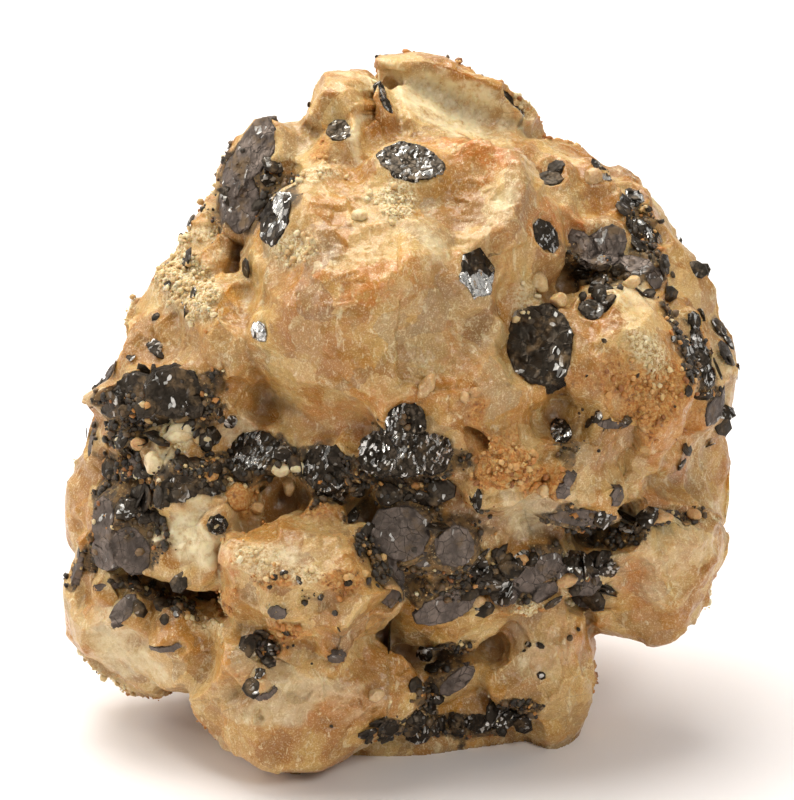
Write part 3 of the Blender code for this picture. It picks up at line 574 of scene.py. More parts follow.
def distance_to(points, triangles):
    """How far each point is from the nearest of the triangles, and which one that is."""
    a, b, c = triangles[:, 0], triangles[:, 1], triangles[:, 2]
    normal = np.cross(b - a, c - a)
    normal = normal / np.maximum(np.linalg.norm(normal, axis=1), 1e-12)[:, None]
    p = points[:, None]
    height = ((p - a) * normal).sum(axis=2)
    best = np.full(height.shape, 1e9)
    inside = np.ones(height.shape, bool)
    for start, end in ((a, b), (b, c), (c, a)):
        along = end - start
        length = np.maximum((along ** 2).sum(axis=1), 1e-12)
        t = np.clip(((p - start) * along).sum(axis=2) / length, 0, 1)
        gap = p - start - t[:, :, None] * along
        best = np.minimum(best, np.sqrt((gap ** 2).sum(axis=2)))
        inside &= ((p - start) * np.cross(normal, along)).sum(axis=2) >= 0
    best = np.where(inside, np.abs(height), best)
    which = best.argmin(axis=1)
    return best[np.arange(len(points)), which], which


def crystal_names():
    return sorted(set(frame["nodes"]) - {"matrix"})


def patch_weights(points, front):
    """For each kind of stain, how strong it is at each point: the named patches where the point faces the
    front, with frayed borders, and noise of the same kind round the sides and back."""
    seen = layout_of(points)
    fray = np.stack((fractal(points, 2.6, 3, 5), fractal(points, 2.6, 3, 25)), axis=1)
    weights = {}
    for k, (kind, patches) in enumerate(PATCHES.items()):
        elsewhere = smooth_step(fractal(points, 7.0, 3, 60 + 7 * k), 0.28, 0.62) * (1 - front)
        total = (0.15 if kind == "grime_and_shade" else 0.8) * elsewhere
        for patch in patches:
            c, s = math.cos(math.radians(patch.turn)), math.sin(math.radians(patch.turn))
            dx, dy = seen[:, 0] - patch.across, seen[:, 1] - patch.up
            x = (c * dx + s * dy) / patch.wide + 0.55 * fray[:, 0]
            y = (c * dy - s * dx) / patch.tall + 0.55 * fray[:, 1]
            here = patch.strength * front * (1 - smooth_step(np.sqrt(x * x + y * y), 0.55, 1.15))
            total = np.maximum(total, here)
        weights[kind] = total
    return weights


def tapered(points, taper, inverse=False):
    """Widens the front of the layout and narrows its back, so that even voxels are finer in front."""
    seen = layout_of(points)
    scale = 1 + taper * (1 - 2 * smooth_step(seen[:, 2:3], -2.0, 16.0))
    seen[:, :2] = seen[:, :2] / scale if inverse else seen[:, :2] * scale
    return MIDDLE + seen @ LAYOUT.T


class StoneSurface:
    """The stone's skin and what is known at each of its vertices, shared by the pieces that grow on it."""
    points = None
    faces = None
    normals = None
    weights = None
    hollow = None
    valley = None
    gap = None
    layout = None


def stone_skin(settings):
    """The lumps, warped a little and joined in one skin."""
    points, faces, count = [], [], 0
    for i, lump in enumerate(LUMPS):
        p, f = lump_surface(lump, LUMP_SEED + i, settings.crispness)
        points.append(p)
        faces.append(f + count)
        count += len(p)
    points = np.vstack(points)
    warp = noise_vector(points, 7.0, 3) * settings.warp
    warp[:, 2] *= smooth_step(points[:, 2], 0.0, 4.0)
    points = tapered(points + warp, settings.taper)
    skin, quads = remeshed(points, np.vstack(faces), settings.voxel)
    return tapered(skin, settings.taper, inverse=True), quads


def crystal_nearness(points, reach):
    """How far each vertex is from the nearest crystal, up to a reach."""
    nearest = np.full(len(points), reach)
    for name in crystal_names():
        triangles = node_triangles(name)
        low = triangles.min(axis=(0, 1)) - reach
        high = triangles.max(axis=(0, 1)) + reach
        near = np.flatnonzero(((points > low) & (points < high)).all(axis=1))
        if len(near):
            gap, _ = distance_to(points[near], triangles)
            nearest[near] = np.minimum(nearest[near], gap)
    return nearest


def over_faces(points, normals, furthest):
    """For each outer face of each crystal: its axis, the vertices of the stone round it, how high they stand
    over it and how far beside it they are."""
    for name in crystal_names():
        triangles = node_triangles(name)
        for axis, group in plate_faces(triangles, outward_of(triangles)):
            low, high = group.min(axis=(0, 1)) - furthest, group.max(axis=(0, 1)) + furthest
            near = np.flatnonzero(((points > low) & (points < high)).all(axis=1) & (normals @ axis > 0.1))
            height = (points[near] - group[0, 0]) @ axis
            close = (height > -1.2) & (height < furthest)
            near, height = near[close], height[close]
            if len(near):
                beside, _ = distance_to(points[near] - height[:, None] * axis, group)
                yield axis, near, height, beside


def fitted(points, normals, edges, sink, furthest, slope):
    """Beds the crystals in the stone. First it rises round each outer face to just below it. Then every
    vertex that stands over a face, seen along the face's own axis, goes down, and round it the stone rises
    like a cone."""
    raised = points.copy()
    for axis, near, height, beside in over_faces(points, normals, furthest):
        bank = -sink - 0.5 * beside
        lift = np.where(height < bank, bank - height, 0) * (1 - smooth_step(beside, 0.3, 0.9))
        raised[near] += axis * lift[:, None]
    moved = raised.copy()
    for axis, near, height, beside in over_faces(raised, normals, furthest):
        roof = slope * np.maximum(beside - 0.1, 0) - sink
        moved[near] -= axis * np.where(roof < height, height - roof, 0)[:, None]
    pushed = np.linalg.norm(moved - points, axis=1)
    beside = relaxed(smooth_step(pushed, 0.1, 0.5), edges, 4, 0.8) * (pushed < 0.3)[:, None]
    return moved + (relaxed(moved, edges, 5, 0.6) - moved) * np.clip(beside * 2, 0, 1)


def smoothed_widely(points, edges, size, rounds):
    """Points averaged over a wide reach: in blocks of a size, relaxed from block to block, then given back to
    the vertices and evened out."""
    block = np.floor(points / size).astype(np.int64) + 500
    _, index = np.unique(block @ np.array((1, 1000, 1000000)), return_inverse=True)
    index = index.reshape(-1)
    count = np.bincount(index)
    means = np.stack([np.bincount(index, points[:, k]) / count for k in range(3)], axis=1)
    links = np.sort(index[edges], axis=1)
    links = np.unique(links[links[:, 0] != links[:, 1]], axis=0)
    return relaxed(relaxed(means, links, rounds, 0.6)[index], edges, 10, 0.6)


def eased_box(points, softness):
    """Keeps points within the solids' box: near a side or the top of it they close up on it and never pass
    it. The foot is left alone."""
    low, high = (np.array(corner) / MM for corner in CAD_BOX)
    top = high - softness * np.logaddexp(0, (high - points) / softness)
    low[2] -= 5
    return low + softness * np.logaddexp(0, (top - low) / softness)


def grow_stone(settings):
    """The stone's surface with its relief: dished scars of three sizes, grains in the rusty and crusted
    patches and a fine roughness, each faded towards the crystals and the flat foot."""
    points, faces = stone_skin(settings)
    edges = edges_of(faces)
    points = relaxed(points, edges, 2, 0.4)
    normals = relaxed(vertex_normals(points, faces), edges, 5)
    normals /= np.linalg.norm(normals, axis=1)[:, None]
    near = smoothed_widely(points, edges, size=0.5, rounds=6)
    far = smoothed_widely(points, edges, size=1.0, rounds=30)
    # How hollow each vertex lies, close by and widely: this deepens the crevices, and the quartz paints shade
    # there
    hollow = smooth_step(((near - points) * normals).sum(axis=1), 0.08, 0.7)
    valley = smooth_step(((far - points) * normals).sum(axis=1), 0.3, 2.2)
    gap = crystal_nearness(points, reach=2.5)
    free = smooth_step(gap, 0.25, 1.4)
    level = smooth_step(points[:, 2], 0.2, 2.0)
    seen = layout_of(points)
    front = smooth_step(-(normals @ SIGHT), -0.15, 0.25) * (1 - smooth_step(seen[:, 2], 3.0, 10.0))
    weights = patch_weights(points, front)
    bent = points + noise_vector(points, 2.2, 31) * 0.22
    relief = np.zeros(len(points))
    rugged = 0.45 + 0.55 * smooth_step(noise(points, 7.0, 90), -0.25, 0.3)
    for scar in SCARS:
        height = scallops(bent, settings.facet * scar.share, scar.dish, settings.tilt, scar.salt)
        relief += height * (1.0 if scar.share == 1.0 else rugged)
    _, number, _ = cells(points + noise_vector(points, 0.8, 51) * 0.2, 0.55, 45)
    grain = (hash_share(number) - 0.5) * 2
    grainy = np.clip(weights["rust"] + 0.8 * weights["crust"], 0, 1)
    relief = relief * (1 - 0.5 * grainy) + 0.02 * fractal(points, 2.4, 4, 47)
    relief += grainy * (settings.grain * grain + 0.10 * fractal(points, 0.9, 2, 49))
    pit = np.exp(-((seen[:, 0] - PIT[0]) ** 2 + ((seen[:, 1] - PIT[1]) / 0.8) ** 2) / PIT_RADIUS ** 2) * front
    hollow = np.maximum(hollow, pit)
    relief -= pit
    relief = relief * (0.1 + 0.9 * free) - settings.crevice * (hollow + valley) * smooth_step(gap, 0.1, 0.8)
    points = points + normals * (relief * level)[:, None]
    points = fitted(points, normals, edges, sink=0.12, furthest=1.8, slope=1.4)
    points = eased_box(points, softness=0.22)
    flat = (points[:, 2] < 0.35) & (normals[:, 2] < -0.6)
    points[:, 2] = np.where(flat, 0.0, np.maximum(points[:, 2], 0.0))
    surface = StoneSurface
    surface.points, surface.faces = points, faces
    surface.normals = vertex_normals(points, faces)
    surface.weights = weights
    surface.hollow = hollow
    surface.valley = valley
    surface.gap = gap
    surface.layout = layout_of(points)
    return surface


# Borders between the stone's parts in the layout: SEAM as (across, up), the upright ones as (up, across)
SEAM = ((-26.0, -2.2), (-18.5, -3.6), (-11.8, -6.6), (-5.0, -7.6), (0.2, -8.0), (5.5, -11.5), (12.2, -12.0),
        (16.7, -9.4), (26.0, -8.8))
DOME_LEFT = ((-8.0, -6.5), (0.0, -9.0), (6.0, -9.8), (12.0, -9.2), (26.0, -9.5))
DOME_RIGHT = ((-10.0, 10.0), (-3.0, 7.6), (2.0, 8.4), (8.0, 9.2), (13.0, 9.4), (26.0, 9.5))
CHIN_RIGHT = ((-26.0, -0.8), (-18.0, -0.6), (-14.0, 1.2), (-8.0, 0.4))
BACK_FROM = 6.2


def stone_parts(surface):
    """Five parts of the skin, as one flag per face each. They meet along the seams between the lumps."""
    across, up, back = surface.layout[surface.faces].mean(axis=1).T
    front = back <= BACK_FROM
    above = up > np.interp(across, *zip(*SEAM))
    dome = (across > np.interp(up, *zip(*DOME_LEFT))) & (across < np.interp(up, *zip(*DOME_RIGHT)))
    left = across < np.interp(up, *zip(*CHIN_RIGHT))
    return {
        "stone_dome": front & above & dome,
        "stone_shoulders": front & above & ~dome,
        "stone_chin": front & ~above & left,
        "stone_foot": front & ~above & ~left,
        "stone_back": ~front,
    }


def closed_part(points, faces, chosen, core):
    """The chosen faces of a skin, closed inside by triangles from each loose edge to a core point. Gives the
    part's points and faces, and the skin's vertex for each of its points but the core."""
    kept = faces[chosen]
    four = kept[:, 3] != kept[:, 2]
    steps = np.vstack((kept[:, (0, 1)], kept[:, (1, 2)], kept[four][:, (2, 3)], kept[four][:, (3, 0)],
                       kept[~four][:, (2, 0)]))
    one = steps[:, 0].astype(np.int64) * len(points) + steps[:, 1]
    twin = steps[:, 1].astype(np.int64) * len(points) + steps[:, 0]
    loose = steps[~np.isin(one, twin)]
    used, index = np.unique(kept, return_inverse=True)
    new = np.full(len(points), -1)
    new[used] = np.arange(len(used))
    last = len(used)
    middle = np.full(len(loose), last)
    cap = np.stack((new[loose[:, 1]], new[loose[:, 0]], middle, middle), axis=1)
    return np.vstack((points[used], core)), np.vstack((index.reshape(kept.shape), cap)), used


LIGHT_REACH = (1.0, 0.5, 0.22)  # how far red, green and blue light go into quartz, as shares
RANGE_SOCKETS = ("Value", "From Min", "From Max", "To Min", "To Max")


class Recipe:
    """One material's shader nodes. An input that is given a socket is linked, and any other value is set."""

    def __init__(self, name):
        self.material = bpy.data.materials.new(name)
        self.material.use_nodes = True
        self.tree = self.material.node_tree
        self.shader = self.tree.nodes["Principled BSDF"]

    def put(self, socket, value):
        if isinstance(value, bpy.types.NodeSocket):
            self.tree.links.new(value, socket)
        else:
            socket.default_value = value

    def add(self, kind, inputs=(), **props):
        made = self.tree.nodes.new(kind)
        for key, value in props.items():
            setattr(made, key, value)
        for key, value in dict(inputs).items():
            self.put(made.inputs[key], value)
        return made

    def surface(self, **inputs):
        for key, value in inputs.items():
            self.put(self.shader.inputs[key.replace("_", " ").title().replace("Ior", "IOR")], value)

    def millimetres(self):
        """Object coordinates in millimetres."""
        where = self.add("ShaderNodeTexCoord").outputs["Object"]
        return self.add("ShaderNodeMapping", {"Vector": where, "Scale": (1000, 1000, 1000)}).outputs[0]

    def attribute(self, name):
        return self.add("ShaderNodeAttribute", attribute_name=name).outputs["Fac"]

    def noise(self, at, size, detail=3.0, rough=0.55, bend=0.0):
        made = self.add("ShaderNodeTexNoise", {"Vector": at, "Scale": 1 / size, "Detail": detail})
        made.inputs["Roughness"].default_value = rough
        made.inputs["Distortion"].default_value = bend
        return made.outputs["Fac"]

    def cells(self, at, size, feature="F1", output="Distance"):
        made = self.add("ShaderNodeTexVoronoi", feature=feature)
        self.put(made.inputs["Vector"], at)
        made.inputs["Scale"].default_value = 1 / size
        return made.outputs[output]

    def math(self, operation, a, b=0.0, clamp=False):
        made = self.add("ShaderNodeMath", operation=operation, use_clamp=clamp)
        self.put(made.inputs[0], a)
        self.put(made.inputs[1], b)
        return made.outputs[0]

    def span(self, value, low, high, to_low=0.0, to_high=1.0):
        """Carries a value from one range smoothly to another."""
        made = self.add("ShaderNodeMapRange", interpolation_type="SMOOTHSTEP")
        for key, v in zip(RANGE_SOCKETS, (value, low, high, to_low, to_high)):
            self.put(made.inputs[key], v)
        return made.outputs["Result"]

    def mix(self, share, a, b, blend="MIX"):
        made = self.add("ShaderNodeMix", data_type="RGBA", blend_type=blend)
        for socket, value in ((made.inputs[0], share), (made.inputs[6], a), (made.inputs[7], b)):
            self.put(socket, (*value, 1) if isinstance(value, tuple) and len(value) == 3 else value)
        return made.outputs[2]

    def tint(self, colour, tone, share, strength):
        """A colour mixed with a tone as far as a share times a strength says."""
        return self.mix(self.math("MULTIPLY", share, strength), colour, tone)

    def channels(self, colour):
        return self.add("ShaderNodeSeparateColor", {"Color": colour}).outputs

    def stretched(self, at, turn, scale):
        return self.add("ShaderNodeMapping", {"Vector": at, "Rotation": turn, "Scale": scale}).outputs[0]

    def vector(self, operation, first, second=None, scale=None):
        made = self.add("ShaderNodeVectorMath", operation=operation)
        for socket, value in ((0, first), (1, second), ("Scale", scale)):
            if value is not None:
                self.put(made.inputs[socket], value)
        return made.outputs[0]

    def pushed(self, start, colour, far):
        """A vector pushed along each axis by a colour's channels less one half, times how far."""
        centred = self.vector("SUBTRACT", colour, (0.5, 0.5, 0.5))
        return self.vector("ADD", start, self.vector("SCALE", centred, scale=far))

    def bump(self, height, millimetres, under=None):
        made = self.add("ShaderNodeBump", {"Height": height, "Distance": millimetres * MM, "Strength": 1.0})
        if under is not None:
            self.put(made.inputs["Normal"], under)
        return made.outputs[0]

    def let_light_in(self, weight, millimetres):
        """Lets this share of the light in, to about this far."""
        far = millimetres * MM
        self.surface(subsurface_weight=weight, subsurface_radius=LIGHT_REACH, subsurface_scale=far)


def bent_coordinates(r, at, size, far):
    """Coordinates pushed about by noise, so that patterns read at them don't look drawn."""
    push = r.add("ShaderNodeTexNoise", {"Vector": at, "Scale": 1 / size, "Detail": 2.0}).outputs["Color"]
    return r.pushed(at, push, far)


def tilted_normal(r, at, size, tilt, under=None):
    """The surface's normal, tipped its own way in each cell of a size, so that flats glint one by one."""
    tone = r.add("ShaderNodeTexVoronoi", {"Vector": at, "Scale": 1 / size}).outputs["Color"]
    start = under or r.add("ShaderNodeNewGeometry").outputs["Normal"]
    return r.vector("NORMALIZE", r.pushed(start, tone, tilt))


# Tones of the stone that go with those a user sets
TOFFEE, BROWN, STRAW = (0.48, 0.235, 0.044), (0.27, 0.115, 0.024), (0.64, 0.46, 0.20)
MAUVE, GINGER, SMOKE = (0.27, 0.17, 0.085), (0.47, 0.18, 0.026), (0.30, 0.195, 0.10)
AMBER, GLINT_CREAM = (0.50, 0.17, 0.03), (0.84, 0.72, 0.46)
SUGAR, RAW_SUGAR = (0.78, 0.66, 0.42), (0.46, 0.28, 0.10)
DARK_GRIT, PALE_GRIT = (0.26, 0.12, 0.028), (0.86, 0.72, 0.45)
OCHRE, OLD_RUST, CRACK = (0.58, 0.33, 0.10), (0.16, 0.05, 0.015), (0.18, 0.09, 0.03)
# Painted shade for the crevices and the valleys
HOLLOW_SHADE, VALLEY_SHADE = (0.20, 0.08, 0.02), (0.12, 0.055, 0.018)
# The seams' dark tones: partly graphite dust, partly painted shade
SOOT_AND_SHADE, EARTH, DUST = (0.020, 0.014, 0.008), (0.17, 0.095, 0.030), (0.50, 0.34, 0.15)


def quartz_material(settings):
    """Honey quartz: a mosaic of grains with clouds of milk in a warm clear body, pale flecks painted as
    glints, iron stain in patches, dark seams that are partly graphite dust and partly painted shade, painted
    shade in its crevices and valleys and round the crystals, glassy flats and hairline cracks, with light let
    a little way into it."""
    r = Recipe("honey_quartz")
    at = r.millimetres()
    bent = bent_coordinates(r, at, 3.0, 1.6)
    broad = r.noise(at, 9.0, 2.0)
    cloud = r.noise(bent, 3.0, 4.0, 0.6)
    fine = r.noise(at, 0.7, 4.0, 0.65)
    speck = r.noise(at, 0.22, 2.0, 0.7)
    frayed = bent_coordinates(r, bent, 0.8, 0.9)
    zone = r.channels(r.cells(frayed, 2.7, output="Color"))
    rust, amber, crust = (r.attribute(kind) for kind in ("rust", "amber", "crust"))
    milk, grey, grime_and_shade = (r.attribute(kind) for kind in ("milk", "grey", "grime_and_shade"))
    hollow, valley, contact_shade = (r.attribute(kind) for kind in ("hollow", "valley", "contact_shade"))
    honey, pale = tuple(settings.honey), tuple(settings.pale)
    white, orange = tuple(settings.white), tuple(settings.rust)
    colour = r.mix(r.span(broad, 0.35, 0.65), honey, TOFFEE)
    colour = r.mix(r.span(cloud, 0.44, 0.62), colour, pale)
    colour = r.tint(colour, BROWN, r.span(zone[0], 0.50, 0.75), 0.45)
    colour = r.tint(colour, STRAW, r.span(zone[1], 0.62, 0.80), 0.50)
    colour = r.tint(colour, MAUVE, r.span(zone[2], 0.70, 0.85), 0.45)
    mottle = r.span(r.noise(at, 1.5, 4.0, 0.65), 0.55, 0.70)
    colour = r.tint(colour, GINGER, mottle, 0.40)
    colour = r.tint(colour, AMBER, amber, r.span(fine, 0.3, 0.6))
    colour = r.tint(colour, SMOKE, grey, 0.8)
    stroke = r.stretched(bent, (0.4, 0.3, 0.5), (1.0, 1.0, 0.35))
    streak = r.span(r.noise(stroke, 0.8, 3.0, 0.6, 0.6), 0.60, 0.70)
    colour = r.tint(colour, white, streak, 0.5)
    vein = r.math("ABSOLUTE", r.math("SUBTRACT", r.noise(frayed, 1.8, 3.0), 0.5))
    vein = r.math("MULTIPLY", r.span(vein, 0.0, 0.022, 1.0, 0.0), r.span(cloud, 0.45, 0.6))
    colour = r.tint(colour, white, vein, 0.55)
    # Painted glints: small pale flecks drawn out in streaks
    glint_fleck = r.span(r.noise(stroke, 0.28, 2.0, 0.5), 0.64, 0.72)
    colour = r.tint(colour, GLINT_CREAM, glint_fleck, 0.55)
    grit = r.noise(at, 0.12, 2.0, 0.6)
    colour = r.tint(colour, DARK_GRIT, r.span(grit, 0.54, 0.68), 0.42)
    colour = r.tint(colour, PALE_GRIT, r.span(grit, 0.46, 0.34), 0.36)
    colour = r.tint(colour, white, milk, r.span(fine, 0.2, 0.6))
    stained = r.mix(r.span(speck, 0.40, 0.62), orange, OCHRE)
    stained = r.mix(r.span(fine, 0.55, 0.72), stained, OLD_RUST)
    colour = r.tint(colour, stained, rust, r.span(fine, 0.25, 0.5))
    sugar = r.mix(r.span(speck, 0.38, 0.60), RAW_SUGAR, SUGAR)
    colour = r.mix(crust, colour, sugar)
    crack = r.cells(bent, 4.5, "DISTANCE_TO_EDGE")
    crack_line = r.math("MULTIPLY", r.span(crack, 0.0, 0.012, 1.0, 0.0), r.span(broad, 0.48, 0.62))
    colour = r.tint(colour, CRACK, crack_line, 0.35)
    # Painted shade: darker in the small crevices and in the broad valleys between the lumps
    colour = r.tint(colour, HOLLOW_SHADE, hollow, 0.6)
    colour = r.tint(colour, VALLEY_SHADE, valley, 0.6)
    # The seam patches, the valleys and the ring round each crystal are painted near black: partly graphite
    # dust, partly painted shade
    dirt_and_shade = r.math("ADD", r.math("MULTIPLY", grime_and_shade, 1.1), r.math("MULTIPLY", valley, 0.42))
    dirt_and_shade = r.math("ADD", dirt_and_shade, r.math("MULTIPLY", contact_shade, 0.35))
    dirt_and_shade = r.span(r.math("ADD", dirt_and_shade, r.math("MULTIPLY", fine, 0.9)), 0.75, 1.2)
    soot_and_shade = r.mix(r.span(fine, 0.42, 0.60), SOOT_AND_SHADE, EARTH)
    soot_and_shade = r.mix(r.span(speck, 0.62, 0.70), soot_and_shade, DUST)
    colour = r.tint(colour, soot_and_shade, dirt_and_shade, 0.92)
    coarse = r.math("ADD", r.math("ADD", rust, crust, clamp=True), dirt_and_shade, clamp=True)
    glass = r.span(cloud, 0.3, 0.7, 0.26, 0.46)
    rough = r.math("ADD", glass, r.math("MULTIPLY", coarse, 0.35), clamp=True)
    near = bent_coordinates(r, at, 1.2, 0.30)
    flats = tilted_normal(r, near, 1.1, 0.17)
    flats = tilted_normal(r, near, 0.33, 0.28, flats)
    relief = r.bump(fine, 0.03, flats)
    sandy = r.span(r.math("MAXIMUM", rust, crust), 0.0, 1.0, 0.3, 1.0)
    relief = r.bump(r.math("MULTIPLY", speck, sandy), 0.12, relief)
    r.surface(base_color=colour, roughness=rough, normal=relief, ior=1.54, specular_ior_level=0.4,
              coat_weight=0.06, coat_roughness=0.12)
    r.let_light_in(settings.glow, 1.1)
    return r.material


def put_attributes(mesh, values):
    for name, value in values.items():
        layer = mesh.attributes.new(name, "FLOAT", "POINT")
        layer.data.foreach_set("value", np.asarray(value, np.float32))


def finished(name, mesh, material, slot, replaces=()):
    """Links a piece, gives it its material, says what it rides on and hides the solids it stands for. The
    slot that would name its finish is not used."""
    obj = bpy.data.objects.new(name, mesh)
    bpy.context.scene.collection.objects.link(obj)
    mesh.materials.append(material)
    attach(obj, "root")
    if replaces:
        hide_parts(*replaces)
    return obj


def plate_faces(triangles, outward):
    """The outer flat face of each plate of a crystal: groups of triangles in one plane, the largest ones that
    face outwards. Gives each group's normal and its triangles."""
    cross = np.cross(triangles[:, 1] - triangles[:, 0], triangles[:, 2] - triangles[:, 0])
    area = np.linalg.norm(cross, axis=1) / 2
    normal = cross / np.maximum(2 * area, 1e-12)[:, None]
    height = (normal * triangles[:, 0]).sum(axis=1)
    left = area > 1e-6
    groups = []
    while left.any():
        first = np.flatnonzero(left)[area[left].argmax()]
        same = left & (normal @ normal[first] > 0.999) & (np.abs(height - height[first]) < 0.05)
        groups.append((area[same].sum(), normal[first], triangles[same]))
        left &= ~same
    outer = [g for g in groups if g[1] @ outward > 0.2]
    largest = max(g[0] for g in outer)
    return [(g[1], g[2]) for g in outer if g[0] > 0.2 * largest]


def outward_of(triangles):
    """The way from the inside of the stone out through a crystal."""
    out = triangles.mean(axis=(0, 1)) - (MIDDLE + 5 * SIGHT)
    return out / np.linalg.norm(out)


def crystal_skin(name, voxel, look, salt):
    """A crystal from its solid: remeshed finely, its rim worn uneven, its sides split in thin leaves and its
    outer faces broken in tilted facets and low terraces. Gives places on the plate for its material."""
    triangles = node_triangles(name)
    tops = plate_faces(triangles, outward_of(triangles))
    corners = triangles.reshape(-1, 3)
    keys, index = np.unique(np.round(corners, 4), axis=0, return_inverse=True)
    loose = index.reshape(-1, 3)
    points, faces = remeshed(keys, np.hstack((loose, loose[:, 2:])), voxel)
    gaps = np.stack([distance_to(points, group)[0] for _, group in tops], axis=1)
    which = gaps.argmin(axis=1)
    axis = np.stack([n for n, _ in tops])[which]
    level = np.array([n @ group[0, 0] for n, group in tops])[which]
    below = level - (points * axis).sum(axis=1)
    side = np.cross(axis, (0.3, 0.2, 0.93))
    side /= np.linalg.norm(side, axis=1)[:, None]
    upright = np.cross(axis, side)
    u, v = (points * side).sum(axis=1), (points * upright).sum(axis=1)
    normals = vertex_normals(points, faces)
    rim = 1 - smooth_step(np.abs((normals * axis).sum(axis=1)), 0.3, 0.8)
    flat = np.stack((u, v, np.zeros(len(u))), axis=1)
    push = noise(flat, 1.3, salt) * 0.16 + noise(flat, 0.45, salt + 1) * 0.07
    bite, number, _ = cells(flat, 0.8, salt + 2)
    push -= 0.22 * (hash_share(number) > 0.78) * smooth_step(bite, 0.0, 0.2)
    leaf = np.floor(below / 0.11)
    leaves = np.stack((leaf * 3.1, np.floor(u / 1.4), np.floor(v / 1.4)), axis=1).astype(np.int64)
    push += (hash_share(cell_hash(leaves, salt + 3)) - 0.5) * 0.10
    outwards = normals - axis * (normals * axis).sum(axis=1)[:, None]
    moved = points + outwards * (push * rim)[:, None]
    bent = flat + noise_vector(flat, 0.9, salt + 9) * 0.2
    height = facets(bent, look.facet, look.tilt, salt + 4)
    small = facets(bent, look.facet * 0.4, look.tilt * 0.6, salt + 5)
    step = np.floor(noise(flat, 1.8, salt + 6) * 2.0 + 0.5) * look.terrace
    lines = np.abs(np.sin((u * 0.8 + v * 0.6) / 0.17 + 2 * noise(flat, 1.5, salt + 7)))
    relief = height + small * 0.5 + step - look.score * (1 - lines) ** 3
    wave = noise(flat, 2.4, salt + 8) * 0.05
    moved += axis * ((relief + wave) * (1 - rim))[:, None]
    # Share of the facets painted bright as glints; on the hexagonal plate, its lower part: a painted
    # reflection
    clean = np.full(len(u), look.clean)
    if name == "hexagonal_plate":
        seen = layout_of(points)
        line = np.median(seen[:, 1]) + 0.45 * noise(flat, 0.9, salt)
        clean = 0.05 + 0.95 * smooth_step(line - seen[:, 1], -0.3, 0.4)
    return moved, faces, {"plate_u": u, "plate_v": v, "below": below, "rim": rim, "clean": clean}


def graphite_material(name, settings):
    """Graphite: a dark metal grey in leaves, with mirror facets of two sizes where it broke cleanly, painted
    bright as glints over their metal sheen, a crackle of fine lines, a film of dust or rust in its hollows
    and painted shade on its rim."""
    shine, dust, base, large, small = FINISHES[name]
    body = tuple(getattr(settings, base))
    r = Recipe(name)
    at = r.millimetres()
    u, v = r.attribute("plate_u"), r.attribute("plate_v")
    plate = r.add("ShaderNodeCombineXYZ", {"X": u, "Y": v}).outputs[0]
    bent = bent_coordinates(r, plate, 0.9, 0.45)
    drawn = r.stretched(bent, (0, 0, 0.7), (1.0, 0.5, 1.0))
    rim, mirror = r.attribute("rim"), r.attribute("clean")
    patch = r.noise(at, 1.1, 3.0)
    fine = r.noise(at, 0.25, 4.0, 0.65)
    line = r.span(r.cells(bent, large, "DISTANCE_TO_EDGE"), 0.0, 0.035, 1.0, 0.0)
    line = r.math("MULTIPLY", line, r.span(patch, 0.40, 0.55))
    hair = r.span(r.cells(drawn, small, "DISTANCE_TO_EDGE"), 0.0, 0.06, 1.0, 0.0)
    tone = r.channels(r.cells(bent, large, output="Color"))[0]
    sliver = r.channels(r.cells(drawn, small, output="Color"))[0]
    bright = tuple(settings.bright)
    colour = r.mix(r.span(patch, 0.35, 0.65), body, tuple(2.0 * c for c in body))
    # Painted glints: facet cells, as many as the share of bare mirror allows, are tinted nearly white
    mixed = r.math("ADD", r.math("MULTIPLY", tone, 0.45), r.math("MULTIPLY", sliver, 0.55))
    edge = r.math("SUBTRACT", 0.90, r.math("MULTIPLY", mirror, 0.90))
    clean = r.span(mixed, edge, r.math("ADD", edge, 0.12))
    colour = r.tint(colour, bright, clean, 0.9)
    seams = r.math("ADD", r.math("MULTIPLY", line, 0.75), r.math("MULTIPLY", hair, 0.3), clamp=True)
    colour = r.mix(seams, colour, (0.014, 0.012, 0.010))
    film = r.span(r.noise(at, 1.4, 4.0, 0.6), 0.60 - 0.2 * dust, 0.72 - 0.1 * dust)
    film = r.math("MULTIPLY", film, min(1.0, 0.25 + dust))
    colour = r.mix(film, colour, (0.17, 0.10, 0.036))
    # Painted shade: the plate's sides, its rim, are darkened
    colour = r.tint(colour, (0.02, 0.017, 0.015), rim, 0.35)
    rough = r.span(fine, 0.3, 0.7, 0.58 - 0.36 * shine, 0.70 - 0.30 * shine)
    rough = r.math("SUBTRACT", rough, r.math("MULTIPLY", clean, 0.12 * shine), clamp=True)
    rough = r.math("ADD", rough, r.math("MULTIPLY", film, 0.3), clamp=True)
    metal = r.span(film, 0.0, 0.8, 0.6 + 0.35 * shine, 0.1)
    leaves = r.add("ShaderNodeTexWave", {
        "Vector": r.add("ShaderNodeCombineXYZ", {"X": r.attribute("below")}).outputs[0],
        "Scale": 2.6, "Distortion": 1.0}, wave_type="BANDS", bands_direction="X").outputs["Fac"]
    flats = tilted_normal(r, bent, large, 0.08 + 0.30 * shine)
    flats = tilted_normal(r, drawn, small, 0.08 + 0.50 * shine, flats)
    relief = r.bump(fine, 0.02, flats)
    relief = r.bump(line, -0.03, relief)
    relief = r.bump(r.math("MULTIPLY", leaves, rim), 0.05, relief)
    r.surface(base_color=colour, roughness=rough, metallic=metal, normal=relief)
    return r.material


